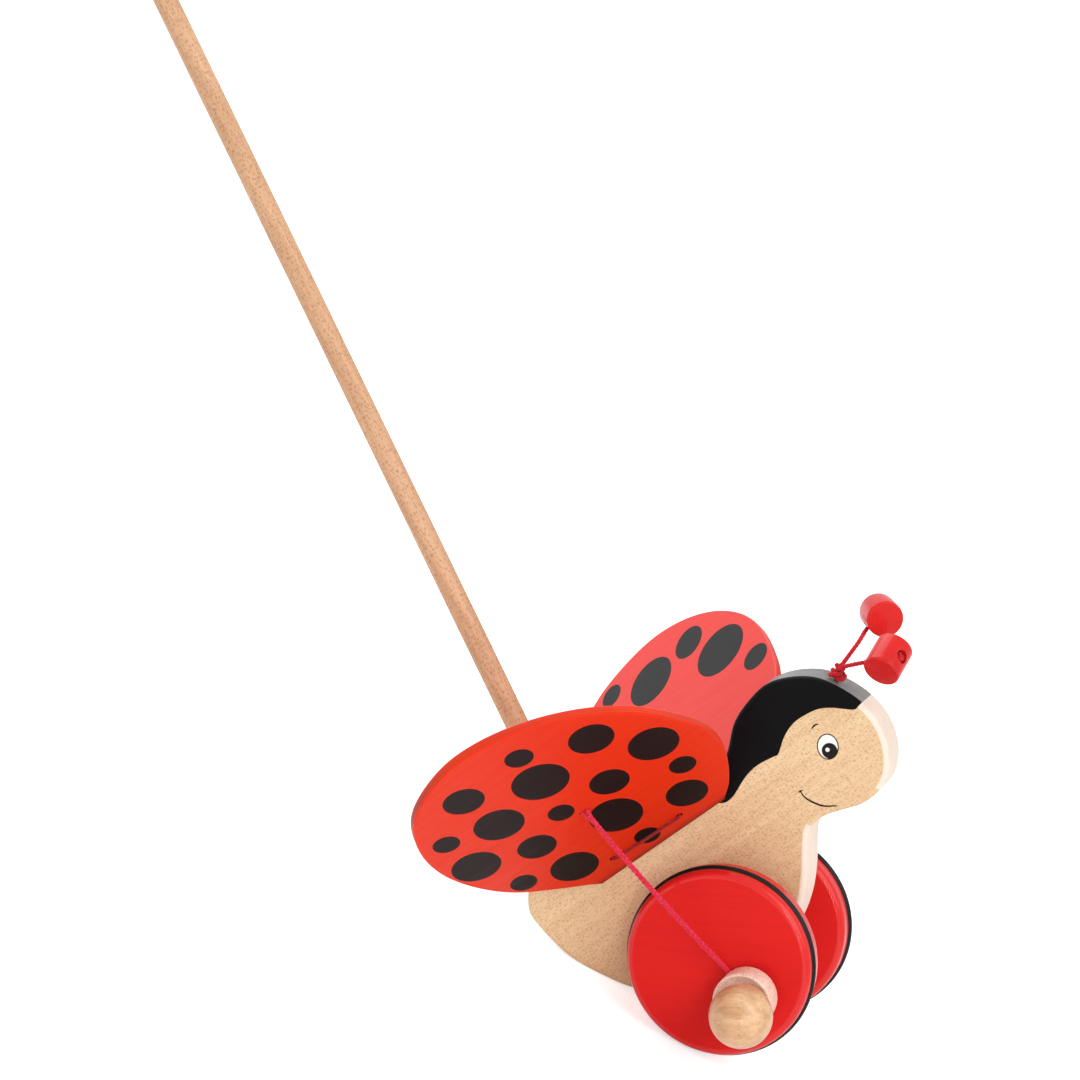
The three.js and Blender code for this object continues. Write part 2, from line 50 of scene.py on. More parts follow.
TOY = Matrix.Translation(AXLE_PLACE) @ Matrix.Rotation(-TIP_BACK, 4, "Y")
SIDES = (("right", -1), ("left", 1))
scene = bpy.context.scene


def linked(name, data=None):
    """A new object in the scene, or an empty where it has no data."""
    obj = bpy.data.objects.new(name, data)
    scene.collection.objects.link(obj)
    return obj


# Camera, in the toy's frame: it leans with the toy, so that the toy shows as in the photograph
eye = Vector((321.659, -1237.493, 359.106))
camera_right = Vector((0.94903717, 0.31516415, 0))
camera_up = Vector((-0.04615923, 0.13899684, 0.98921646))
camera = linked("camera", bpy.data.cameras.new("camera"))
turn = Matrix((camera_right, camera_up, camera_right.cross(camera_up))).transposed().to_4x4()
camera.matrix_world = TOY @ Matrix.Translation(eye * MM) @ turn
camera.data.sensor_width = 36
camera.data.lens = 104
camera.data.clip_start = 0.05
camera.data.clip_end = 60
scene.camera = camera


# Shaders
PAINTS = {}   # materials by name, as the pieces ask for them


def srgb(red, green, blue):
    """A colour as the eye reads it, 0 to 255, as the linear values that shaders take."""
    def linear(value):
        value /= 255
        return value / 12.92 if value <= 0.04045 else ((value + 0.055) / 1.055) ** 2.4
    return (linear(red), linear(green), linear(blue), 1)


class Shader:
    """A node material under construction."""

    def __init__(self, name):
        PAINTS[name] = self.material = bpy.data.materials.new(name)
        self.material.use_nodes = True
        self.tree = self.material.node_tree
        self.tree.nodes.clear()
        self.output = self.tree.nodes.new("ShaderNodeOutputMaterial")
        self.surface = self.add("ShaderNodeBsdfPrincipled")
        self.tree.links.new(self.surface.outputs[0], self.output.inputs[0])

    def add(self, kind, inputs=None, **settings):
        node = self.tree.nodes.new(kind)
        for key, value in settings.items():
            setattr(node, key, value)
        for key, value in (inputs or {}).items():
            self.put(node.inputs[key], value)
        return node

    def put(self, socket, value):
        if isinstance(value, bpy.types.NodeSocket):
            self.tree.links.new(value, socket)
        else:
            socket.default_value = value

    def set(self, **values):
        """Sets the surface's inputs: base_color for Base Color and so on."""
        for key, value in values.items():
            name = {"specular": "Specular IOR Level"}.get(key, key.replace("_", " ").title())
            self.put(self.surface.inputs[name], value)

    def math(self, operation, a, b=0.0):
        node = self.add("ShaderNodeMath", {0: a, 1: b}, operation=operation)
        return node.outputs[0]

    def sum(self, *terms):
        """The sum of terms, each a value or a pair of a value and its weight."""
        total = 0.0
        for term in terms:
            part = self.math("MULTIPLY", *term) if isinstance(term, tuple) else term
            total = self.math("ADD", total, part)
        return total

    def mix(self, share, a, b):
        return self.add("ShaderNodeMix", {0: share, 6: a, 7: b}, data_type="RGBA").outputs[2]

    def place(self, scale, turn=(0, 0, 0), own=True):
        """Millimetres in the piece's own frame, or in the part's, turned by degrees and scaled."""
        if own:
            node = self.add("ShaderNodeAttribute", attribute_name="grain")
            coords, unit = node.outputs["Vector"], 1
        else:
            coords, unit = self.add("ShaderNodeTexCoord").outputs["Object"], 1 / MM
        turned = self.add("ShaderNodeMapping", {"Vector": coords, "Scale": (unit,) * 3,
                                                "Rotation": [math.radians(a) for a in turn]})
        scaled = self.add("ShaderNodeMapping", {"Vector": turned.outputs[0], "Scale": scale})
        return scaled.outputs[0]

    def noise(self, vector, detail=3.0, roughness=0.5):
        return self.add("ShaderNodeTexNoise", {"Vector": vector, "Scale": 1.0, "Detail": detail,
                                               "Roughness": roughness}).outputs["Fac"]

    def ramp(self, value, low, high, to_low=0.0, to_high=1.0):
        return self.add("ShaderNodeMapRange", {0: value, 1: low, 2: high, 3: to_low, 4: to_high},
                        interpolation_type="SMOOTHSTEP").outputs[0]

    def bump(self, height, distance, strength):
        node = self.add("ShaderNodeBump", {"Height": height, "Distance": distance * MM,
                                           "Strength": strength})
        self.put(self.surface.inputs["Normal"], node.outputs[0])


def beech(name, light, dark, fleck, turn, flecks=(0.52, 2.3, 2.3), amount=0.55, rough=0.55,
          rings=0.0, specular=0.35, own=True):
    """Beech with its grain along the turned X axis: soft streaks and bands, and short flecks."""
    s = Shader(name)
    streaks = s.noise(s.place((0.012, 0.30, 0.30), turn, own), 4.0, 0.6)
    fine = s.noise(s.place((0.10, 2.6, 2.6), turn, own), 3.0, 0.6)
    patch = s.noise(s.place((0.02, 0.03, 0.03), turn, own), 2.0)
    shade = s.ramp(s.sum((streaks, 0.6), (fine, 0.22), (patch, 0.35)), 0.38, 0.78)
    colour = s.mix(shade, light, dark)
    if rings:
        bands = s.add("ShaderNodeTexWave",
                      {"Vector": s.place((0.05, 0.10, 0.62), turn, own), "Scale": 1.0,
                       "Distortion": 3.0, "Detail": 2.0, "Detail Scale": 1.2},
                      wave_type="BANDS", bands_direction="Z", wave_profile="SAW")
        band = s.ramp(bands.outputs["Fac"], 0.5, 1.0)
        colour = s.mix(s.math("MULTIPLY", band, rings), colour, dark)
    cells = s.add("ShaderNodeTexVoronoi", {"Vector": s.place(flecks, turn, own), "Scale": 1.0,
                                           "Randomness": 0.9})
    present = s.add("ShaderNodeSeparateColor", {"Color": cells.outputs["Color"]}).outputs[0]
    dash = s.math("MULTIPLY", s.ramp(cells.outputs["Distance"], 0.2, 0.55, 1.0, 0.0),
                  s.ramp(present, 0.1, 0.7))
    colour = s.mix(s.math("MULTIPLY", dash, amount), colour, fleck)
    s.set(base_color=colour, roughness=s.ramp(fine, 0.2, 0.8, rough - 0.06, rough + 0.08),
          specular=specular)
    s.bump(s.sum((fine, 0.5), (dash, -0.8)), 0.05, 0.5)


def lacquer(name, colour, shade, rough, coat=0.0, specular=0.1, grain=(0.03, 0.5, 0.5),
            turn=(0, 0, 0), show=0.5, painted_shade=None):
    """Coloured lacquer on wood: the grain shows faintly in the colour and in the sheen. Painted
    shade gives an axis, two places along it and the shade's colour up to the first of the two."""
    s = Shader(name)
    streaks = s.noise(s.place(grain, turn), 4.0, 0.6)
    patch = s.noise(s.place((0.025, 0.025, 0.025), turn), 2.0)
    share = s.sum((s.ramp(streaks, 0.35, 0.7), 0.6), (s.ramp(patch, 0.35, 0.65), 0.4))
    painted = s.mix(s.math("MULTIPLY", share, show), colour, shade)
    # Painted shade: the colour darkens to the shade's colour towards one end of the axis
    if painted_shade:
        axis, start, end, deep = painted_shade
        along = s.add("ShaderNodeSeparateXYZ", {0: s.place((1, 1, 1))}).outputs[axis]
        painted = s.mix(s.ramp(along, start, end), deep, painted)
    s.set(base_color=painted,
          roughness=s.ramp(streaks, 0.3, 0.7, rough - 0.04, rough + 0.06), specular=specular,
          coat_weight=coat, coat_roughness=0.06)
    ripple = s.noise(s.place((0.9, 0.9, 0.9), turn), 2.0)
    s.bump(s.sum((streaks, 0.7), (ripple, 0.3)), 0.03, 0.35)


def yarn(name, colour, deep, pale, flecked):
    """Braided cord yarn, with fine pale fibres and a soft sheen."""
    s = Shader(name)
    fibre = s.noise(s.place((1.8, 1.8, 1.8)), 4.0, 0.75)
    blotch = s.noise(s.place((0.9, 0.9, 0.9)), 2.0)
    shade = s.mix(s.ramp(blotch, 0.3, 0.7, 0.0, 0.5), colour, deep)
    s.set(base_color=s.mix(s.ramp(fibre, 0.5, 0.72, 0.0, flecked), shade, pale), roughness=0.8,
          specular=0.2, sheen_weight=0.3, sheen_roughness=0.4)
    s.bump(fibre, 0.08, 0.6)


# Materials, with the grain of the wood's pieces turned by degrees about their own axes
PLANK_GRAIN, STICK_GRAIN, BALL_GRAIN, TURNED_GRAIN = (0, 37, 0), (0, 0, 86), (0, 0, 0), (0, 0, 90)
beech("plank_beech", srgb(236, 206, 164), srgb(222, 186, 141), srgb(176, 122, 78), PLANK_GRAIN,
      flecks=(0.6, 2.8, 2.8), amount=0.7)
# Plank's rim: paler than its faces, partly the edge's own tone and partly painted light
beech("plank_edge_paler_and_lit", srgb(242, 226, 212), srgb(236, 216, 197), srgb(218, 186, 156), PLANK_GRAIN,
      amount=0.2)
beech("stick_beech", srgb(222, 176, 138), srgb(196, 148, 110), srgb(140, 94, 62), STICK_GRAIN,
      amount=0.7, rough=0.5)
beech("ball_beech", srgb(240, 198, 154), srgb(194, 142, 96), srgb(152, 98, 60), BALL_GRAIN,
      flecks=(0.12, 2.6, 2.6), amount=0.4, rough=0.3, rings=0.5, specular=0.5)
beech("spool_beech", srgb(252, 226, 212), srgb(240, 200, 180), srgb(186, 130, 106), TURNED_GRAIN,
      flecks=(1.1, 1.5, 1.5), amount=0.7, rough=0.5)
inner_wood = (srgb(236, 206, 164), srgb(214, 174, 130), srgb(160, 110, 72), TURNED_GRAIN)
beech("spacer_beech", *inner_wood, amount=0.4)
beech("dowel_beech", *inner_wood, amount=0.4, own=False)

wheel_colours = (srgb(220, 34, 30), srgb(208, 27, 30))
lacquer("wheel_red", *wheel_colours, rough=0.5)
lacquer("shoulder_red", *wheel_colours, rough=0.4, coat=0.4)
lacquer("wing_top_red", srgb(228, 44, 34), srgb(216, 38, 32), rough=0.36, coat=0.1, specular=0.3,
        grain=(0.02, 0.4, 0.4), show=0.4)
# Painted shade: the wing's underside darkens towards the hinge, where it meets the plank
lacquer("wing_under_red", srgb(224, 48, 14), srgb(214, 40, 14), rough=0.42,
        grain=(0.02, 0.4, 0.4), show=0.4, painted_shade=(1, -3.4, 3.0, srgb(150, 26, 16)))
# Painted shade: the wing's rim darkens towards its tail end, the side turned away from the light
lacquer("wing_edge", srgb(226, 66, 36), srgb(190, 48, 30), rough=0.45, grain=(0.01, 0.02, 1.1),
        show=0.8, painted_shade=(0, -24, 34, srgb(128, 32, 24)))
# Painted shade: dark red on the wing's hinge cut and chamfer and on the walls of its bores
lacquer("hinge_shade_red", srgb(84, 13, 14), srgb(54, 8, 10), rough=0.5)
lacquer("bead_red", srgb(220, 40, 36), srgb(178, 18, 25), rough=0.35, coat=0.2,
        grain=(1.6, 1.6, 1.6), show=0.9)
lacquer("spot_top", srgb(21, 19, 19), srgb(31, 29, 28), rough=0.4, coat=0.15)
lacquer("spot_under", srgb(24, 16, 16), srgb(34, 25, 24), rough=0.45, specular=0.05)
lacquer("cap_black", srgb(8, 8, 10), srgb(18, 18, 19), rough=0.5, specular=0.06,
        grain=(0.04, 0.9, 0.9), turn=PLANK_GRAIN, show=0.7)
# Painted sheen: grey with grain on the black cap's rim, standing in for light from above on satin
# black
lacquer("cap_edge_sheen_grey", srgb(70, 70, 69), srgb(136, 135, 133), rough=0.42, coat=0.1, specular=0.3,
        grain=(0.05, 2.0, 0.05), show=1.0)
lacquer("eye_white", srgb(246, 245, 242), srgb(236, 234, 230), rough=0.45, coat=0.1, specular=0.3)
lacquer("line_black", srgb(24, 19, 16), srgb(38, 31, 26), rough=0.5)
yarn("pull_yarn", srgb(226, 30, 66), srgb(180, 12, 40), srgb(252, 130, 160), flecked=0.6)
# The hinge cord's dark red is partly its own colour and partly painted shade
yarn("hinge_yarn_shaded", srgb(166, 22, 28), srgb(128, 14, 22), srgb(206, 60, 60), flecked=0.4)
yarn("feeler_yarn", srgb(208, 22, 34), srgb(164, 12, 28), srgb(240, 84, 92), flecked=0.5)

rubber = Shader("ring_rubber")
dust = rubber.noise(rubber.place((0.5, 0.5, 0.5)), 4.0)
rubber.set(base_color=rubber.mix(rubber.ramp(dust, 0.4, 0.75), srgb(9, 8, 8), srgb(22, 20, 20)),
           roughness=rubber.ramp(dust, 0.3, 0.7, 0.36, 0.5), specular=0.2)
rubber.bump(dust, 0.05, 0.4)


# Lines and outlines
OUTLINE_STEPS, LINE_STEPS = 40, 16   # between two controls of an outline and of a line


def smooth_outline(controls, count):
    """Evenly spaced points of the closed centripetal Catmull-Rom curve through the controls."""
    dense = []
    total = len(controls)
    for i in range(total):
        p0, p1, p2, p3 = (Vector(controls[(i + k) % total]) for k in (-1, 0, 1, 2))
        d0, d1, d2 = (math.sqrt((b - a).length) for a, b in ((p0, p1), (p1, p2), (p2, p3)))
        m1 = ((p1 - p0) / d0 - (p2 - p0) / (d0 + d1) + (p2 - p1) / d1) * d1
        m2 = ((p2 - p1) / d1 - (p3 - p1) / (d1 + d2) + (p3 - p2) / d2) * d1
        for k in range(OUTLINE_STEPS):
            t = k / OUTLINE_STEPS
            dense.append(p1 + m1 * t + (-3 * p1 + 3 * p2 - 2 * m1 - m2) * t * t
                         + (2 * p1 - 2 * p2 + m1 + m2) * t ** 3)
    return spaced(dense, count, closed=True)


def spaced(points, count, closed=False):
    """Points at even distances along a line: count of them, round it if it is closed."""
    line = [Vector(p) for p in points]
    if closed:
        line.append(line[0])
    run = [0.0]
    for a, b in zip(line, line[1:]):
        run.append(run[-1] + (b - a).length)
    steps = count if closed else count - 1
    found, k = [], 0
    for i in range(count):
        goal = run[-1] * i / steps
        while k < len(run) - 2 and run[k + 1] < goal:
            k += 1
        span = run[k + 1] - run[k]
        found.append(line[k].lerp(line[k + 1], (goal - run[k]) / span if span else 0))
    return found


def inset(points, distance):
    """A closed 2-D line moved inwards."""
    count = len(points)
    area = sum(points[i].cross(points[(i + 1) % count]) for i in range(count))
    sign = 1 if area > 0 else -1
    moved = []
    for i, p in enumerate(points):
        along = (points[(i + 1) % count] - points[i - 1]).normalized()
        moved.append(p + Vector((-along.y, along.x)) * sign * distance)
    return moved


def inside(point, polygon):
    """Whether a point lies in a polygon, by the edges that a ray from it crosses."""
    x, y = point
    hit = False
    previous = polygon[-1]
    for current in polygon:
        if (current[1] > y) != (previous[1] > y):
            slope = (previous[0] - current[0]) / (previous[1] - current[1])
            if x < slope * (y - current[1]) + current[0]:
                hit = not hit
        previous = current
    return hit


def ellipse(centre, radius_x, radius_y, tilt=0.0, count=48):
    c, s = math.cos(math.radians(tilt)), math.sin(math.radians(tilt))
    points = []
    for i in range(count):
        a = 2 * math.pi * i / count
        x, y = radius_x * math.cos(a), radius_y * math.sin(a)
        points.append(Vector((centre[0] + c * x - s * y, centre[1] + s * x + c * y)))
    return points


def catmull(points, count):
    """A smooth open line through 2-D or 3-D points."""
    line = [Vector(p) for p in points]
    line = [2 * line[0] - line[1], *line, 2 * line[-1] - line[-2]]
    dense = []
    for p0, p1, p2, p3 in zip(line, line[1:], line[2:], line[3:]):
        for k in range(LINE_STEPS):
            t = k / LINE_STEPS
            dense.append(0.5 * (2 * p1 + (p2 - p0) * t + (2 * p0 - 5 * p1 + 4 * p2 - p3) * t * t
                                + (3 * p1 - p0 - 3 * p2 + p3) * t ** 3))
    dense.append(line[-2])
    return spaced(dense, count)


def stroke(points, width, thin_end=0.35):
    """A closed outline round a smooth pen stroke that thins towards its ends."""
    line = catmull(points, count=32)
    left, right = [], []
    for i, p in enumerate(line):
        a, b = line[max(i - 1, 0)], line[min(i + 1, len(line) - 1)]
        across = Vector((-(b - a).y, (b - a).x)).normalized()
        half = width / 2 * (thin_end + (1 - thin_end) * math.sin(math.pi * (i + 0.5) / len(line)))
        left.append(p + across * half)
        right.append(p - across * half)
    return left + right[::-1]


def bent(corners, bend, steps=8):
    """Straight runs between corners, with a round bend of the given reach at each inner corner."""
    points = [Vector(corners[0])]
    for before, at, after in zip(corners, corners[1:], corners[2:]):
        before, at, after = Vector(before), Vector(at), Vector(after)
        a = at + (before - at).normalized() * bend
        b = at + (after - at).normalized() * bend
        for k in range(steps + 1):
            t = k / steps
            points.append(a * (1 - t) ** 2 + at * 2 * t * (1 - t) + b * t * t)
    points.append(Vector(corners[-1]))
    return points


def arc(centre_r, centre_y, radius, start, end, steps):
    """Points of a circle's arc from one angle in degrees to another."""
    return [(centre_r + radius * math.cos(math.radians(start + (end - start) * i / steps)),
             centre_y + radius * math.sin(math.radians(start + (end - start) * i / steps)))
            for i in range(steps + 1)]


def rounded(radius, low, high, rounding, steps):
    """The rim of a turned form from y = low to y = high, with both of its edges rounded."""
    return [*arc(radius - rounding, low + rounding, rounding, -90, 0, steps),
            *arc(radius - rounding, high - rounding, rounding, 0, 90, steps)]


# Meshes
def printed_face(outline, holes, prints):
    """Triangles of a flat face with holes, and for each the number of the last print it lies in."""
    points, edges = [], []
    for loop in [outline, *holes, *(p for p, _ in prints)]:
        start = len(points)
        points.extend(loop)
        edges.extend((start + i, start + (i + 1) % len(loop)) for i in range(len(loop)))
    verts, _, faces, *_ = delaunay_2d_cdt(points, edges, [], 0, 1e-5)
    kept = []
    for face in faces:
        middle = sum((verts[i] for i in face), Vector((0, 0))) / len(face)
        if not inside(middle, outline) or any(inside(middle, h) for h in holes):
            continue
        number = 0
        for polygon, material in prints:
            if inside(middle, polygon):
                number = material
        kept.append((face, number))
    return verts, kept


def key(point):
    return round(point[0], 4), round(point[1], 4)


def plate_mesh(outline, low, high, rounding, holes, prints_low, prints_high, rim_number, steps=5,
               bore_number=0):
    """A plate in its own XY plane, with printed flat faces, rounded edges and bores. The rim's
    material at outline point i is rim_number(i, level), with level -1 on the low rounding, 0
    between the two and 1 on the high one."""
    bm = bmesh.new()
    count = len(outline)
    stacks = []
    for at, sign in ((low, 1), (high, -1)):
        rings = []
        for k in range(steps + 1):
            a = math.pi / 2 * k / steps
            loop = inset(outline, rounding * (1 - math.sin(a)))
            z = at + sign * rounding * (1 - math.cos(a))
            rings.append(([bm.verts.new((p.x, p.y, z)) for p in loop], loop))
        stacks.append(rings)
    lower, upper = stacks
    stack = lower + upper[::-1]
    for k, ((a, _), (b, _)) in enumerate(zip(stack, stack[1:])):
        level = (k > steps) - (k < steps)
        for i in range(count):
            j = (i + 1) % count
            bm.faces.new((a[i], a[j], b[j], b[i])).material_index = rim_number(i, level)
    bores = []
    flats = ((lower[0], low, prints_low), (upper[0], high, prints_high))
    for (ring_verts, loop), z, prints in flats:
        verts, faces = printed_face(loop, holes, prints)
        known = {key(v.co): v for v in ring_verts}
        made = []
        for p in verts:
            if key(p) not in known:
                known[key(p)] = bm.verts.new((p.x, p.y, z))
            made.append(known[key(p)])
        for face, number in faces:
            corners = [made[i] for i in face]
            if len(set(corners)) == len(corners):
                bm.faces.new(corners).material_index = number
        bores.append([[known[key(p)] for p in hole] for hole in holes])
    for a, b in zip(*bores):
        for i in range(len(a)):
            j = (i + 1) % len(a)
            bm.faces.new((a[i], a[j], b[j], b[i])).material_index = bore_number
    bmesh.ops.delete(bm, geom=[v for v in bm.verts if not v.link_faces], context="VERTS")
    bmesh.ops.recalc_face_normals(bm, faces=bm.faces)
    return bm


def lathe(profile, segments, closed=False):
    """A form turned about its own Y axis from (radius, y) points."""
    bm = bmesh.new()
    rings = []
    for r, y in profile:
        if r < 1e-6:
            rings.append([bm.verts.new((0, y, 0))])
        else:
            rings.append([bm.verts.new((r * math.cos(2 * math.pi * i / segments), y,
                                        r * math.sin(2 * math.pi * i / segments)))
                          for i in range(segments)])
    pairs = list(zip(rings, rings[1:]))
    if closed:
        pairs.append((rings[-1], rings[0]))
    for a, b in pairs:
        for i in range(segments):
            j = (i + 1) % segments
            if len(a) == 1:
                bm.faces.new((a[0], b[i], b[j]))
            elif len(b) == 1:
                bm.faces.new((a[i], b[0], a[j]))
            else:
                bm.faces.new((a[i], b[i], b[j], a[j]))
    bmesh.ops.recalc_face_normals(bm, faces=bm.faces)
    return bm


def frames(points, closed=False):
    """For each point of a line, two directions across it that turn as little as they can."""
    count = len(points)
    tangents = []
    for i in range(count):
        a = points[i - 1] if closed or i else points[0]
        b = points[(i + 1) % count] if closed or i < count - 1 else points[-1]
        tangents.append((b - a).normalized())
    side = tangents[0].orthogonal().normalized()
    made = []
    for t in tangents:
        side = (side - t * side.dot(t)).normalized()
        made.append((side.copy(), t.cross(side)))
    if closed:
        t = tangents[0]
        last = (made[-1][0] - t * made[-1][0].dot(t)).normalized()
        gap = math.atan2(last.dot(made[0][1]), last.dot(made[0][0]))
        for i, (u, v) in enumerate(made):
            a = -gap * i / count
            made[i] = (u * math.cos(a) + v * math.sin(a), v * math.cos(a) - u * math.sin(a))
    return made


def add_tube(bm, points, radius, sides, closed=False):
    """Sweeps a round section along the points, which carry the tube's middle line."""
    rings = []
    for p, (u, v) in zip(points, frames(points, closed)):
        rings.append([bm.verts.new(p + (u * math.cos(2 * math.pi * k / sides)
                                        + v * math.sin(2 * math.pi * k / sides)) * radius)
                      for k in range(sides)])
    pairs = list(zip(rings, rings[1:]))
    if closed:
        pairs.append((rings[-1], rings[0]))
    for a, b in pairs:
        for k in range(sides):
            m = (k + 1) % sides
            bm.faces.new((a[k], a[m], b[m], b[k]))
    if not closed:
        bm.faces.new(rings[0][::-1])
        bm.faces.new(rings[-1])


# A braid's strands each way, pitch and strands' radius in diameters, and their inset and weave
CARRIERS, PITCH, STRAND_SHARE, STRAND_INSET, WEAVE = 3, 2.6, 0.2, 1.35, 0.4


def braid(points, diameter, closed=False, into=None):
    """A round braid along a line, on a core: strands wind both ways, over and under each other."""
    bm = into or bmesh.new()
    length = sum((b - a).length for a, b in zip(points, points[1:]))
    if closed:
        length += (points[0] - points[-1]).length
    turns = max(1, round(length / (diameter * PITCH)))
    steps = turns * CARRIERS * 6
    line = spaced(points, steps if closed else steps + 1, closed)
    axes = frames(line, closed)
    strand = diameter * STRAND_SHARE
    middle = diameter / 2 - strand * STRAND_INSET
    for way in (1, -1):
        for c in range(CARRIERS):
            path = []
            for i, (p, (u, v)) in enumerate(zip(line, axes)):
                wound = 2 * math.pi * turns * i / steps
                angle = way * wound + 2 * math.pi * c / CARRIERS
                r = middle + strand * WEAVE * math.cos(CARRIERS * wound) * way
                path.append(p + (u * math.cos(angle) + v * math.sin(angle)) * r)
            add_tube(bm, path, strand, 6, closed)
    add_tube(bm, line, middle, 8, closed)
    bmesh.ops.recalc_face_normals(bm, faces=bm.faces)
    return bm


def mesh_of(name, bm):
    mesh = bpy.data.meshes.new(name)
    bm.to_mesh(mesh)
    bm.free()
    return mesh


def carved(mesh, tools):
    """The mesh after the tools are cut out of it, all in the piece's own millimetres."""
    obj = linked("blank", mesh)
    for bm, place in tools:
        tool = linked("tool", mesh_of("tool", bm))
        tool.matrix_world = place
        cutter = obj.modifiers.new("cut", "BOOLEAN")
        cutter.operation = "DIFFERENCE"
        cutter.solver = "EXACT"
        cutter.object = tool
        graph = bpy.context.evaluated_depsgraph_get()
        result = bpy.data.meshes.new_from_object(obj.evaluated_get(graph), depsgraph=graph)
        obj.modifiers.remove(cutter)
        obj.data = result
        bpy.data.objects.remove(tool)
    result = obj.data
    bpy.data.objects.remove(obj)
    return result


def piece(name, bm, body, paints, nodes, place=None, smooth=35, weighted=False, tools=(),
          outward=1):
    """Makes a piece from a mesh in millimetres, sets it in the toy and lets it ride on its body.
    Its own millimetres, with Y times outward, stay as the attribute grain for the shaders."""
    mesh = mesh_of(name, bm)
    for paint in paints:
        mesh.materials.append(PAINTS[paint])
    if tools:
        mesh = carved(mesh, tools)
        mesh.name = name
    grain = mesh.attributes.new("grain", "FLOAT_VECTOR", "POINT")
    for vertex, value in zip(mesh.vertices, grain.data):
        value.vector = (vertex.co.x, vertex.co.y * outward, vertex.co.z)
    at = (place or Matrix.Identity(4)).copy()
    at.translation *= MM
    mesh.transform(TOY @ at @ Matrix.Scale(MM, 4))
    mesh.shade_smooth()
    mesh.set_sharp_from_angle(angle=math.radians(smooth))
    obj = linked(name, mesh)
    if weighted:
        normals = obj.modifiers.new("normals", "WEIGHTED_NORMAL")
        normals.keep_sharp = True
        normals.weight = 100
    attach(obj, body)
    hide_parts(*nodes)
    return obj


def along_y(start, direction):
    """Places a turned form so that its Y axis runs from start along direction."""
    rotation = Vector((0, 1, 0)).rotation_difference(Vector(direction).normalized())
    return Matrix.Translation(start) @ rotation.to_matrix().to_4x4()


# Sizes shared with the solids
GAP = 0.3
BODY_LENGTH, BODY_HEIGHT, THICKNESS, ROUNDING = 155.6, 140, 22, 2.2
SIDE = THICKNESS / 2
BODY_SHARES = [
    (-0.027, 0.593), (-0.009, 0.680), (0.030, 0.748), (0.078, 0.801), (0.141, 0.826),
    (0.212, 0.829), (0.276, 0.804), (0.334, 0.765), (0.378, 0.714), (0.404, 0.654),
    (0.413, 0.593), (0.405, 0.540), (0.383, 0.500), (0.342, 0.462), (0.292, 0.440),
    (0.246, 0.420), (0.217, 0.398), (0.200, 0.370), (0.196, 0.314), (0.195, 0.250),
    (0.186, 0.164), (0.163, 0.084), (0.124, 0.006), (0.068, -0.066), (-0.010, -0.123),
    (-0.100, -0.156), (-0.193, -0.169), (-0.290, -0.159), (-0.364, -0.133), (-0.463, -0.083),
    (-0.548, -0.004), (-0.583, 0.044), (-0.589, 0.092), (-0.580, 0.150), (-0.546, 0.214),
    (-0.488, 0.261), (-0.411, 0.300), (-0.321, 0.354), (-0.231, 0.418), (-0.154, 0.471),
    (-0.087, 0.507), (-0.045, 0.545),
]
body_outline = smooth_outline([(x * BODY_LENGTH, z * BODY_HEIGHT) for x, z in BODY_SHARES],
                              count=420)


def on_body(share_x, share_z):
    return Vector((share_x * BODY_LENGTH, 0, share_z * BODY_HEIGHT))


STICK, STICK_LENGTH, STICK_SEAT, STICK_TIP, STICK_CHAMFER = 10, 485, 25, 3.2, 0.4
LEAN = math.radians(27.4)
STICK_AXIS = Vector((-math.sin(LEAN), 0, math.cos(LEAN)))
STICK_FOOT = on_body(-0.478, 0.266) - STICK_AXIS * STICK_SEAT

AXLE = 8
WHEEL, WHEEL_MIDDLE, WHEEL_THICK, WHEEL_ROUND = 39, 30.9, 16.6, 3
WHEEL_INNER, WHEEL_OUTER = WHEEL_MIDDLE - WHEEL_THICK / 2, WHEEL_MIDDLE + WHEEL_THICK / 2
RING_SEAT, RING_SECTION, RING_ASIDE = 0.3, 1.5, 2.3
RING_RADIUS = WHEEL - RING_SEAT
CRANK = Vector((math.cos(math.radians(36.9)), 0, -math.sin(math.radians(36.9))))
THROW, PLAY, BALL_OFFSET, PIN = 19.1, 1.1, 2.2, 6
SPOOL_START, SPOOL_LENGTH, SPOOL_RADIUS, SPOOL_DISH = WHEEL_OUTER + GAP, 14.7, 12.2, 4
NECK_RADIUS, NECK_LENGTH = 6.5, 2.9
BALL_RADIUS, BALL_NESTING = 12.95, 2.2
BALL_MIDDLE = SPOOL_START + SPOOL_LENGTH - BALL_NESTING + BALL_RADIUS
LOOP_OUT = (WHEEL_OUTER + SPOOL_START + NECK_LENGTH) / 2

RISE, SLOPE = math.radians(29.5), math.radians(37.3)
HINGE_REAR = on_body(-0.390, 0.197)
HINGE_ALONG = Vector((math.cos(SLOPE), 0, math.sin(SLOPE)))
WING_LENGTH, WING_SPAN, WING_THICK, WING_ROUND = 122, 148, 4, 0.7
HINGE_CORD, PULL_CORD, STRAND, FEELER = 1.5, 2.5, 1.4, 2.1
SAG = 1.6
WING_TOP = -1.4
WING_UNDER = WING_TOP - WING_THICK
HINGE_EDGE = WING_UNDER * math.tan(RISE)


def on_wing(share_along, share_out):
    return Vector((share_along * WING_LENGTH, share_out * WING_SPAN + HINGE_EDGE))


HINGE_HOLES = [on_wing(0.119, 0.093), on_wing(0.403, 0.079)]
PULL_MIDDLE, PULL_ASIDE = on_wing(0.268, 0.4115), 1.4
PULL_HOLES = [PULL_MIDDLE + Vector((shift, 0)) for shift in (-PULL_ASIDE, PULL_ASIDE)]
HINGE_BORE, MOUTH, MOUTH_DEPTH = 1.45, 3.3, 0.9

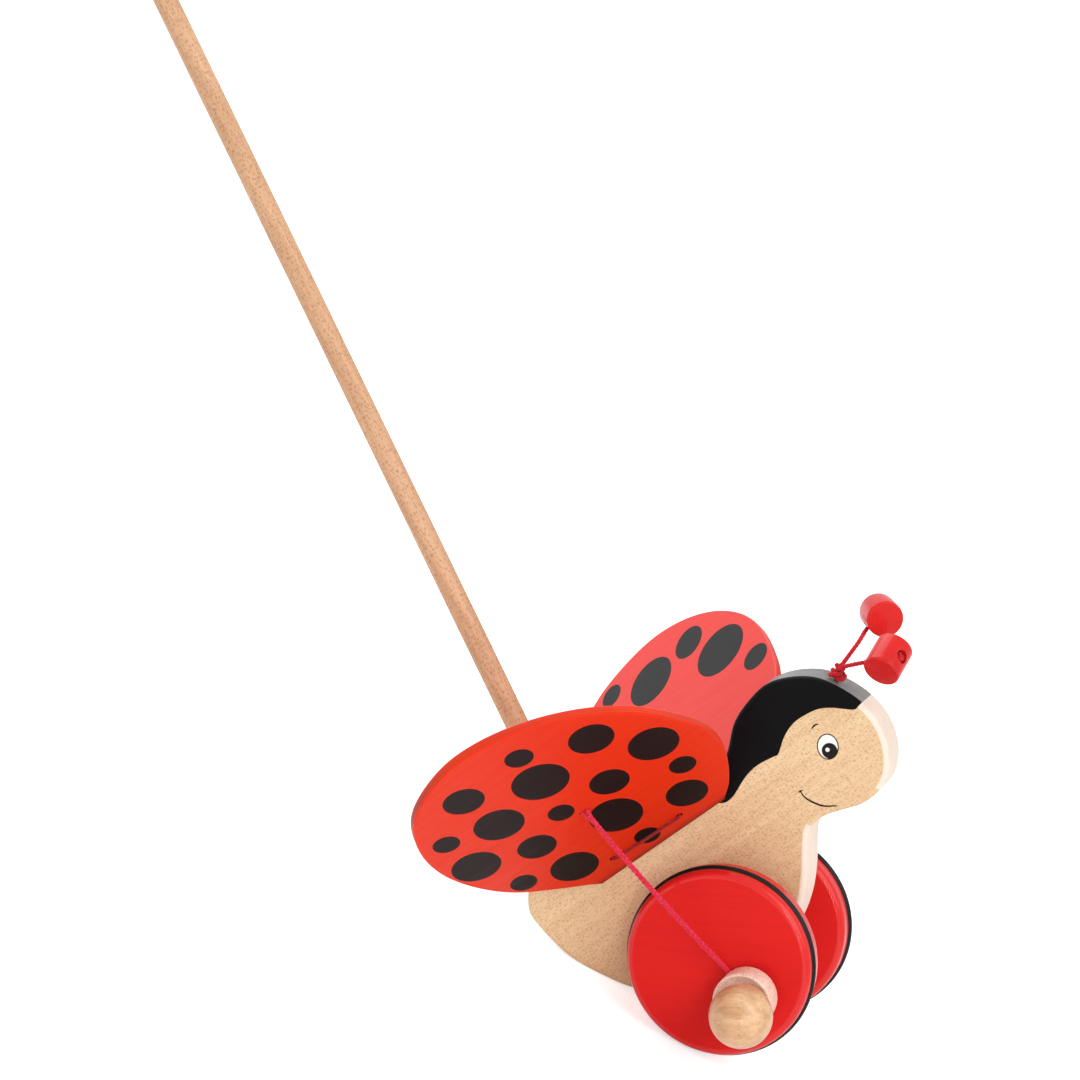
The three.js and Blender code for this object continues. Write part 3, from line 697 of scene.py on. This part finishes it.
CROWN_SLOPE = math.radians(20.4)
CROWN = on_body(0.2526, 0.8139)
CROWN_NORMAL = Vector((math.sin(CROWN_SLOPE), 0, math.cos(CROWN_SLOPE)))
KNOT, KNOT_ASIDE, SPLIT_RISE, PLUG_DEPTH = 4.8, 2.5, 3.4, 12
KNOT_MIDDLE = CROWN + CROWN_NORMAL * (KNOT / 2 + GAP) - Vector((0, KNOT_ASIDE, 0))
SPLIT = KNOT_MIDDLE + CROWN_NORMAL * SPLIT_RISE


def wing_place(outward):
    """The wing's own frame: X along the hinge axis, Y to the toy's left and Z off the top face."""
    return (Matrix.Translation(HINGE_REAR + Vector((0, outward * (SIDE + GAP), 0)))
            @ Matrix.Rotation(-SLOPE, 4, "Y") @ Matrix.Rotation(outward * RISE, 4, "X"))


# Body plank with its painted head, in x and z
CAP_EDGE = [
    (51.1, 104.9), (49.1, 104.0), (44.5, 104.1), (40.0, 104.2), (34.4, 103.3), (29.3, 100.7),
    (24.8, 97.4), (21.8, 93.6), (20.0, 89.9), (19.0, 86.8), (17.8, 83.2), (15.7, 82.0),
    (10.6, 79.1), (6.5, 75.7), (3.5, 71.9), (0.4, 66.6), (-1.6, 63.6), (-4.6, 61.2),
    (-8.6, 61.0), (-12.0, 63.6),
]
EYE, PUPIL, GLINT = (38.7, 87.9), (39.5, 86.2), (38.6, 86.6)
BROW = [(31.8, 94.8), (32.5, 95.9), (33.4, 96.7), (34.6, 97.1)]
SMILE = [(27.4, 68.3), (29.4, 65.9), (33.4, 63.9), (37.5, 62.9), (42.9, 63.4)]
CHEEK = [(26.6, 67.7), (27.3, 68.4), (28.3, 68.8)]
# Painted light: the rounding is pale like the rim where it faces forwards and up, else like the
# faces
LIT_WAY, LIT_FROM = Vector((0.67, 0.74)), 0.1


def plank_mesh():
    """The plank lying in the XY plane, and the stretch of its rim that the cap covers."""
    inner = inset(body_outline, ROUNDING)
    count = len(inner)
    edge = catmull(CAP_EDGE, count=90)
    front = min(range(count), key=lambda i: (inner[i] - edge[0]).length)
    nape = [i for i in range(count) if inner[i].x < -6 and inner[i].y > 50]
    back = min(nape, key=lambda i: (inner[i] - edge[-1]).length)
    last = front if front > back else front + count
    crown = [inner[i % count] for i in range(back + 1, last)]
    cap = [inner[front], *edge[1:-1], inner[back], *crown]
    painted = set(i % count for i in range(back, last))
    # Rounding that faces forwards and up gets the rim's pale colour as painted light
    pale = [(o - i).dot(LIT_WAY) > ROUNDING * LIT_FROM for o, i in zip(body_outline, inner)]

    def rim_number(i, level):
        if i in painted:
            # The cap's flat rim takes the grey of painted sheen
            return 1 if level else 5
        # The flat rim, and rounding that faces the light, take the pale rim colour, in part painted
        # light
        return 4 if level == 0 or pale[i] else 0

    prints = [
        (cap, 1),
        (ellipse(EYE, 4.62, 5.47, 4), 2), (ellipse(EYE, 4.14, 4.99, 4), 3),
        (ellipse(PUPIL, 3.3, 3.3), 2), (ellipse(GLINT, 0.9, 0.9, count=24), 3),
        (stroke(BROW, 0.7, 0.6), 2), (stroke(SMILE, 0.8, 0.6), 2), (stroke(CHEEK, 0.65, 0.5), 2),
    ]
    bore = ellipse((0, 0), AXLE / 2 + GAP, AXLE / 2 + GAP)
    return plate_mesh(body_outline, -SIDE, SIDE, ROUNDING, [bore], prints, prints, rim_number)


# Room round the stick and the antenna cord in their bores, and how far the tools stand out
STICK_ROOM, FEELER_ROOM, OUT_OF_WOOD, STICK_TOOL = 0.15, 0.2, 2, 60


def cord_bore(middle):
    """The tool for a hinge cord's bore through the plank, with a countersunk mouth on each side."""
    reach, wide = SIDE + OUT_OF_WOOD, MOUTH + 2 * (MOUTH - HINGE_BORE) / MOUTH_DEPTH
    profile = [(0, -reach), (wide, -reach), (HINGE_BORE, MOUTH_DEPTH - SIDE),
               (HINGE_BORE, SIDE - MOUTH_DEPTH), (wide, reach), (0, reach)]
    return lathe(profile, segments=32), Matrix.Translation(middle)


def rod_tool(radius, length, place):
    """The tool for a round bore that starts at its place and runs along the place's Y axis."""
    return lathe([(0, 0), (radius, 0), (radius, length), (0, length)], segments=48), place


hinge_bores = [HINGE_REAR + HINGE_ALONG * hole.x for hole in HINGE_HOLES]
plank_bm = plank_mesh()
bmesh.ops.rotate(plank_bm, matrix=Matrix.Rotation(math.pi / 2, 3, "X"), verts=plank_bm.verts)
piece("plank", plank_bm, "frame",
      ["plank_beech", "cap_black", "line_black", "eye_white", "plank_edge_paler_and_lit", "cap_edge_sheen_grey"],
      ["body"], smooth=50, weighted=True,
      tools=[*(cord_bore(middle) for middle in hinge_bores),
             rod_tool(STICK / 2 + STICK_ROOM, STICK_TOOL,
                      along_y(STICK_FOOT - STICK_AXIS * GAP, STICK_AXIS)),
             rod_tool(FEELER / 2 + FEELER_ROOM, PLUG_DEPTH + OUT_OF_WOOD,
                      along_y(CROWN - CROWN_NORMAL * PLUG_DEPTH, CROWN_NORMAL))])

# Push stick, with a fine chamfer at its foot and a rounded free end
shaft = [(STICK / 2, STICK_CHAMFER + k * 40) for k in range(12)]
profile = [(0, 0), (STICK / 2 - STICK_CHAMFER, 0), *shaft,
           *arc(STICK / 2 - STICK_TIP, STICK_LENGTH - STICK_TIP, STICK_TIP, 0, 90, 10),
           (0, STICK_LENGTH)]
piece("stick", lathe(profile, segments=64), "frame", ["stick_beech"], ["push_stick"],
      along_y(STICK_FOOT, STICK_AXIS))


# Wheels, rings, spacers and cranks
SPACER_RADIUS, SPACER_ROUND = 7, 0.8
SPOOL_RIM, SPOOL_ROUND = 1, 0.6   # width of the flat rim round the dish, and the drum's rounding


def wheel_bm():
    """A wheel with its two faces as material 0, and its roundings and the ring's groove as 1."""
    half = WHEEL_THICK / 2
    groove = RING_SECTION + GAP
    opening = math.degrees(math.acos(RING_SEAT / groove))
    across = [WHEEL * share for share in (0.2, 0.4, 0.6, 0.8)]
    profile = [(0, -half), *[(r, -half) for r in across],
               *arc(WHEEL - WHEEL_ROUND, WHEEL_ROUND - half, WHEEL_ROUND, -90, 0, 9),
               *arc(RING_RADIUS, RING_ASIDE, groove, -opening, opening - 360, 14),
               *arc(WHEEL - WHEEL_ROUND, half - WHEEL_ROUND, WHEEL_ROUND, 0, 90, 9),
               *[(r, half) for r in reversed(across)], (0, half)]
    bm = lathe(profile, segments=144)
    for face in bm.faces:
        face.material_index = int(abs(face.normal.y) < 0.999)
    return bm


def spacer_bm():
    half = (WHEEL_INNER - SIDE) / 2 - GAP
    inner = AXLE / 2 + GAP
    rim = rounded(SPACER_RADIUS, -half, half, SPACER_ROUND, 5)
    return lathe([(inner, -half), *rim, (inner, half)], segments=64, closed=True)


def spool_bm():
    """A drum with a narrow neck for the cord's loop and a dished outer end for the ball."""
    bore = PIN / 2 + GAP + PLAY
    rim = SPOOL_RADIUS - SPOOL_RIM
    dish_r = (rim * rim + SPOOL_DISH * SPOOL_DISH) / (2 * SPOOL_DISH)
    dish_y = SPOOL_LENGTH - SPOOL_DISH + dish_r
    radii = [rim + (bore - rim) * i / 12 for i in range(13)]
    dish = [(r, dish_y - math.sqrt(dish_r * dish_r - r * r)) for r in radii]
    profile = [(bore, 0), (NECK_RADIUS, 0), (NECK_RADIUS, NECK_LENGTH),
               *rounded(SPOOL_RADIUS, NECK_LENGTH, SPOOL_LENGTH, SPOOL_ROUND, 4), *dish]
    return lathe(profile, segments=96, closed=True)


def ball_bm():
    points = arc(0, 0, BALL_RADIUS, -90, 90, 40)
    return lathe([(0, -BALL_RADIUS), *points[1:-1], (0, BALL_RADIUS)], segments=80)


for label, outward in SIDES:
    flip = Matrix.Identity(4) if outward > 0 else Matrix.Rotation(math.pi, 4, "Z")

    def out(distance, throw=0.0, flip=flip, outward=outward):
        """The place at a distance out along the axle, moved by throw along the crank."""
        return Matrix.Translation(CRANK * throw + Vector((0, outward * distance, 0))) @ flip

    piece(f"{label}_wheel_disc", wheel_bm(), "wheelset", ["wheel_red", "shoulder_red"],
          [f"{label}_wheel"], out(WHEEL_MIDDLE), smooth=40)
    ring = lathe(arc(RING_RADIUS, 0, RING_SECTION, 0, 345, 23), segments=144, closed=True)
    piece(f"{label}_ring", ring, "wheelset", ["ring_rubber"], [f"{label}_tyre_ring"],
          out(WHEEL_MIDDLE + RING_ASIDE))
    piece(f"{label}_spacer", spacer_bm(), "wheelset", ["spacer_beech"], [f"{label}_axle_spacer"],
          out((SIDE + WHEEL_INNER) / 2))
    piece(f"{label}_spool_turned", spool_bm(), f"{label}_spool", ["spool_beech"],
          [f"{label}_crank_spool"], out(SPOOL_START, THROW - PLAY), smooth=30)
    piece(f"{label}_ball", ball_bm(), "wheelset", ["ball_beech"], [f"{label}_crank_ball"],
          out(BALL_MIDDLE, THROW + BALL_OFFSET))

# The axle and the pins are shown as the solids are
for name in ("axle", "right_crank_pin", "left_crank_pin"):
    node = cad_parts[name]
    node.data.materials.clear()
    node.data.materials.append(PAINTS["dowel_beech"])

# Wings
WING_SHARES = [
    (0.100, -0.040), (0.510, -0.040), (0.549, 0.006), (0.612, 0.064), (0.694, 0.172),
    (0.750, 0.271), (0.777, 0.385), (0.768, 0.503), (0.725, 0.672), (0.644, 0.809),
    (0.524, 0.918), (0.385, 0.983), (0.245, 1.000), (0.105, 0.966), (-0.035, 0.888),
    (-0.144, 0.753), (-0.209, 0.588), (-0.220, 0.420), (-0.185, 0.257), (-0.113, 0.141),
    (-0.033, 0.036), (0.010, -0.020),
]
# Spots: along the hinge, out from it, half width outwards and half width along
UNDER_SPOTS = [
    (45.4, 124.7, 7.0, 5.6), (67.8, 104.7, 11.4, 8.9), (77.7, 73.2, 13.2, 10.1),
    (73.8, 45.5, 7.2, 5.5), (15.0, 122.4, 10.0, 8.1), (38.4, 100.3, 14.3, 11.3),
    (51.5, 68.6, 10.3, 8.0), (61.4, 23.7, 11.4, 8.6), (10.1, 91.6, 12.6, 10.0),
    (27.5, 70.7, 6.8, 5.3), (36.8, 42.8, 14.8, 10.6), (-9.2, 103.0, 6.7, 5.4),
    (6.1, 59.1, 10.0, 7.9), (-15.1, 74.5, 12.4, 9.9), (3.0, 26.9, 12.8, 9.9),
    (-14.9, 40.6, 7.0, 5.5), (32.8, 13.0, 7.0, 5.4),
]
TOP_SPOTS = [
    (3.4, 124.6, 8.1, 5.1), (26.6, 114.2, 16.9, 11.3), (49.6, 123.6, 11.6, 7.3),
    (66.5, 100.2, 17.6, 12.3), (84.8, 76.9, 8.9, 6.1), (-4.5, 96.0, 12.2, 9.4),
    (8.0, 68.0, 8.6, 6.4), (-14.0, 62.0, 7.0, 5.4), (34.0, 50.0, 13.6, 10.2),
    (4.0, 36.0, 12.0, 9.2), (52.0, 22.0, 9.6, 7.4),
]
SPOT_TILT, HINGE_CHAMFER, WING_EASE = -7, 0.5, 0.2


def wing_bm(outward):
    """A wing's blade in the wing's own frame, with its hinge edge cut upright and chamfered."""
    outline = smooth_outline([on_wing(a, o) for a, o in WING_SHARES], count=300)
    outline = inset([Vector((p.x, outward * p.y)) for p in outline], WING_EASE)
    pull_bore = STRAND / 2 + GAP
    holes = [ellipse((p.x, outward * p.y), HINGE_BORE, HINGE_BORE, count=24) for p in HINGE_HOLES]
    holes += [ellipse((p.x, outward * p.y), pull_bore, pull_bore, count=20) for p in PULL_HOLES]

    def spots(table, number, along_scale, out_scale):
        return [(ellipse((along, outward * (out_by + HINGE_EDGE)), along_half * along_scale,
                         out_half * out_scale, outward * SPOT_TILT), number)
                for along, out_by, out_half, along_half in table]

    # Material 5, the dark red of painted shade, goes on the bores' walls
    bm = plate_mesh(outline, WING_UNDER, WING_TOP, WING_ROUND, holes,
                    spots(UNDER_SPOTS, 1, 1, 1.05),
                    [(inset(outline, WING_ROUND), 3), *spots(TOP_SPOTS, 4, 1.07, 0.93)],
                    lambda i, level: {-1: 0, 0: 2, 1: 3}[level], steps=4, bore_number=5)
    upright = Vector((0, outward * math.cos(RISE), -math.sin(RISE)))
    chamfer = (upright + Vector((0, 0, 1))).normalized()
    edge = Vector((0, outward * HINGE_EDGE, WING_UNDER))
    # The hinge cut and its chamfer take material 5, the dark red of painted shade
    for point, plane in ((Vector((0, 0, 0)), upright), (edge + chamfer * HINGE_CHAMFER, chamfer)):
        cut = bmesh.ops.bisect_plane(bm, geom=bm.verts[:] + bm.edges[:] + bm.faces[:], dist=1e-6,
                                     plane_co=point, plane_no=plane, clear_inner=True)
        rim = [e for e in cut["geom_cut"] if isinstance(e, bmesh.types.BMEdge)]
        made = bmesh.ops.triangle_fill(bm, use_beauty=True, use_dissolve=False, edges=rim)
        for face in made["geom"]:
            if isinstance(face, bmesh.types.BMFace):
                face.material_index = 5
    bmesh.ops.recalc_face_normals(bm, faces=bm.faces)
    return bm


for label, outward in SIDES:
    piece(f"{label}_wing_blade", wing_bm(outward), f"{label}_wing_panel",
          ["wing_under_red", "spot_under", "wing_edge", "wing_top_red", "spot_top", "hinge_shade_red"],
          [f"{label}_wing"], wing_place(outward), smooth=50, weighted=True,
          outward=outward)


# Cords
def cord(name, bm, body, paint, node, place=None):
    return piece(name, bm, body, [paint], [node], place, smooth=60)


def anchor(name, spot, body):
    """An empty that stays upright while it moves with a point of a body, for a hook."""
    held = linked(f"{name}_held")
    held.matrix_world = Matrix.Translation(TOY @ (spot * MM))
    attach(held, body)
    upright = linked(f"{name}_upright")
    follow = upright.constraints.new("COPY_LOCATION")
    follow.target = held
    return upright


def hook(obj, empty, weights):
    """Lets the vertices follow an anchor by their weights."""
    group = obj.vertex_groups.new(name=empty.name)
    for i, weight in enumerate(weights):
        if weight > 0:
            group.add([i], weight, "REPLACE")
    modifier = obj.modifiers.new(empty.name, "HOOK")
    modifier.object = empty
    modifier.vertex_group = group.name
    bpy.context.view_layer.update()
    modifier.matrix_inverse = empty.matrix_world.inverted() @ obj.matrix_world


# The pull cord follows the wing less up to the wheel's edge, so that it bends over the edge
NEAR_WHEEL, WHEEL_EDGE = 0.64, 0.6
# Hinge cord: drawn into the plank, its bend off the hinge axis, and its lift off the underside
DRAWN_IN, HINGE_BEND, LIFT = 1.3, 0.6, 0.1
# Pull cord, below the wing: its strands' bends, their join, their ends round it and the tail there
STRAND_TURN, JOIN, PULL_END, FOOT, TAIL, TAIL_MIDDLE = 0.8, 4, 5.0, 0.6, 1.6, 0.4
# Pull cord, at the spool: past the drum's edge, and off the line through the neck's middle
CLEAR_OF_DRUM, LEAVE = 2, 1.5

for label, outward in SIDES:
    place, panel = wing_place(outward), f"{label}_wing_panel"

    def at(hole, height, outward=outward):
        return Vector((hole.x, outward * hole.y, height))

    # Hinge cord: out of the plank, over the wing, down a hole, along the underside and back
    under = WING_UNDER - HINGE_CORD / 2 - LIFT
    rear, front = HINGE_HOLES
    into_plank = Vector((0, -outward * math.cos(RISE), math.sin(RISE))) * DRAWN_IN
    aside = Vector((0, outward * HINGE_BEND, 0))
    corners = [Vector((rear.x, 0, 0)) + into_plank, Vector((rear.x, 0, 0)) + aside,
               at(rear, 0), at(rear, under), at(front, under), at(front, 0),
               Vector((front.x, 0, 0)) + aside, Vector((front.x, 0, 0)) + into_plank]
    lacing = braid(bent(corners, bend=1.0), HINGE_CORD)
    cord(f"{label}_hinge_lacing", lacing, panel, "hinge_yarn_shaded", f"{label}_hinge_cord", place)

    # Pull cord's strands through the wing, and the short tail where they join below it
    neck = CRANK * (THROW - PLAY) + Vector((0, outward * LOOP_OUT, 0))
    under_point = at(PULL_MIDDLE, WING_UNDER)
    aim = (place.inverted() @ neck - under_point).normalized()
    join_at = under_point + aim * JOIN
    high = WING_TOP + GAP + STRAND / 2
    first, second = PULL_HOLES
    feet = [join_at + (at(hole, WING_UNDER) - under_point).normalized() * FOOT
            for hole in PULL_HOLES]
    route = [feet[0], at(first, WING_UNDER - STRAND_TURN), at(first, high), at(second, high),
             at(second, WING_UNDER - STRAND_TURN), feet[1]]
    stitch = braid(bent(route, bend=0.6), STRAND)
    braid([join_at + aim * reach for reach in (-TAIL, TAIL_MIDDLE, TAIL)], PULL_CORD, into=stitch)
    cord(f"{label}_pull_lacing", stitch, panel, "pull_yarn", f"{label}_pull_stitch", place)

    # Pull cord: a loop round the spool's neck, past the drum's edge and on to the strands' join
    end = place @ (under_point + aim * PULL_END)
    level = end - neck
    level.y = 0
    level.normalize()
    leave = neck + Vector((-level.z, 0, level.x)) * LEAVE
    start = leave + level * (NECK_RADIUS + GAP * 1.5)
    corner = leave + level * (SPOOL_RADIUS + CLEAR_OF_DRUM)
    hang = [corner.lerp(end, t) - Vector((0, 0, SAG * 4 * t * (1 - t)))
            for t in (0.2, 0.4, 0.6, 0.8)]
    rope = braid(bent([start, corner, *hang, end], bend=3), PULL_CORD)
    loop_radius = NECK_RADIUS + GAP + STRAND / 2
    loop = [neck + Vector((math.cos(a), 0, math.sin(a))) * loop_radius
            for a in (2 * math.pi * k / 72 for k in range(72))]
    braid(loop, STRAND, closed=True, into=rope)
    way = end - corner
    shares = [min(max((v.co - corner).dot(way) / way.length_squared, 0), 1) for v in rope.verts]
    line = cord(f"{label}_pull_line", rope, "frame", "pull_yarn", f"{label}_pull_cord")
    hook(line, anchor(f"{label}_spool_anchor", neck, "wheelset"), [1 - share for share in shares])
    lifted = [NEAR_WHEEL * share + max(share - WHEEL_EDGE, 0) * (1 - NEAR_WHEEL) / (1 - WHEEL_EDGE)
              for share in shares]
    hook(line, anchor(f"{label}_wing_anchor", end, panel), lifted)

# The hinge cords' cores in the plank
for label, middle in zip(("rear", "front"), hinge_bores):
    line = [middle + Vector((0, y, 0)) for y in (-9.6, -5, 0, 5, 9.6)]
    cord(f"hinge_lacing_{label}_core", braid(line, HINGE_CORD), "frame", "hinge_yarn_shaded",
         f"hinge_cord_{label}_core")

# Antennae
BEAD_RADIUS, BEAD_HALF, BEAD_ROUND, BEAD_BORE, CORD_SHORT = 7.7, 7.5, 0.8, 2.8, 1.6
# The bead's distance from the split, the cord's bow upwards, its way and the bead's own axis
FEELERS = {
    "right": (26.1, 0.3, Vector((0.858, -0.441, 0.261)), Vector((0.228, 0.785, 0.575))),
    "left": (29, 0.8, Vector((0.459, 0.570, 0.680)), Vector((0.426, -0.902, -0.071))),
}


def trefoil(middle, big, small, wide, count=120, turn=0.0, normal=CROWN_NORMAL):
    """The middle line of a tight overhand knot, lying across the normal."""
    tilt = Vector((0, 0, 1)).rotation_difference(normal).to_matrix()
    points = []
    for i in range(count):
        t = 2 * math.pi * i / count
        r = big + small * math.cos(3 * t)
        points.append(middle + tilt @ Vector((r * math.cos(2 * t + turn),
                                              wide * r * math.sin(2 * t + turn),
                                              small * 1.05 * math.sin(3 * t))))
    return points


knot = braid(trefoil(KNOT_MIDDLE, 2.2, 1.1, 0.85), FEELER, closed=True)
braid(trefoil(SPLIT, 1.05, 0.7, 1.0, turn=0.8), 2.0, closed=True, into=knot)
braid([CROWN + CROWN_NORMAL * h for h in (-11.7, -8, -4, 0, 1.6)], FEELER, into=knot)
cord("crown_knot", knot, "frame", "feeler_yarn", "antenna_knot")

for label, (reach, bow, way, bead_way) in FEELERS.items():
    to_bead = way.normalized()
    middle = SPLIT + to_bead * reach
    start = SPLIT + to_bead * 1.6
    bend = (start + middle) / 2 + Vector((0, 0, bow))
    axis = bead_way.normalized()
    last = (middle - bend).normalized()
    last = (last - axis * last.dot(axis)).normalized()
    enter, end = middle - last * (BEAD_RADIUS + 1), middle + last * (BEAD_RADIUS - CORD_SHORT)
    feeler = braid(bent([start, bend, enter, end], bend=4), FEELER)
    braid(trefoil(end, 0.9, 0.5, 1.0, normal=last), 1.7, closed=True, into=feeler)
    cord(f"{label}_feeler", feeler, f"{label}_antenna", "feeler_yarn", f"{label}_antenna_cord")
    bead_at = along_y(middle, axis)
    rim = rounded(BEAD_RADIUS, -BEAD_HALF, BEAD_HALF, BEAD_ROUND, 6)
    bead = lathe([(0, -BEAD_HALF), *rim, (0, BEAD_HALF)], segments=72)
    reach = BEAD_RADIUS + OUT_OF_WOOD
    bore = rod_tool(BEAD_BORE, 2 * reach, bead_at.inverted() @ along_y(middle - last * reach, last))
    piece(f"{label}_bead", bead, f"{label}_antenna", ["bead_red"], [f"{label}_antenna_bead"],
          bead_at, smooth=40, tools=[bore])


# Floor and light
def seen(shader):
    """1 where the camera, a gloss or a clear surface looks, and 0 where light is passed on."""
    path = shader.nodes.new("ShaderNodeLightPath")
    total = path.outputs["Is Camera Ray"]
    for name in ("Is Glossy Ray", "Is Transmission Ray"):
        larger = shader.nodes.new("ShaderNodeMath")
        larger.operation = "MAXIMUM"
        shader.links.new(total, larger.inputs[0])
        shader.links.new(path.outputs[name], larger.inputs[1])
        total = larger.outputs[0]
    return total


FLOOR_HALF, FLOOR_WHITE, FLOOR_GLOW, SKY = 20, 0.9, 0.62, 0.47
floor_mesh = bpy.data.meshes.new("floor")
corners = [(x * FLOOR_HALF, y * FLOOR_HALF, 0) for x, y in ((-1, -1), (1, -1), (1, 1), (-1, 1))]
floor_mesh.from_pydata(corners, [], [(0, 1, 2, 3)])
floor = linked("floor", floor_mesh)
pale = Shader("floor_pale")
pale.set(base_color=(*[FLOOR_WHITE] * 3, 1), roughness=0.9, specular=0.0,
         emission_color=(1, 1, 1, 1),
         emission_strength=pale.math("MULTIPLY", seen(pale.tree), FLOOR_GLOW))
floor_mesh.materials.append(pale.material)

scene.view_settings.view_transform = "Standard"
world = bpy.data.worlds.new("studio")
scene.world = world
world.use_nodes = True
background = world.node_tree.nodes["Background"]
background.inputs["Color"].default_value = (1, 1, 1, 1)
level = world.node_tree.nodes.new("ShaderNodeMapRange")
world.node_tree.links.new(seen(world.node_tree), level.inputs[0])
level.inputs[3].default_value = SKY
world.node_tree.links.new(level.outputs[0], background.inputs["Strength"])

LIGHTS_LOOK = (0, 0, 50)


def softbox(name, place, width, height, power):
    """A soft light at a place in the toy's frame, in millimetres, looking at the body."""
    lamp = bpy.data.lights.new(name, "AREA")
    lamp.shape = "RECTANGLE"
    lamp.size = width * MM
    lamp.size_y = height * MM
    lamp.energy = power
    obj = linked(name, lamp)
    spot = TOY @ (Vector(place) * MM)
    look = TOY @ (Vector(LIGHTS_LOOK) * MM) - spot
    obj.matrix_world = Matrix.Translation(spot) @ look.to_track_quat("-Z", "Y").to_matrix().to_4x4()


softbox("key", (1600, -1000, 1000), 1700, 1700, 27)
softbox("front", (760, -1800, 250), 100, 1150, 7)
softbox("top", (-600, 400, 1500), 1300, 1300, 17)
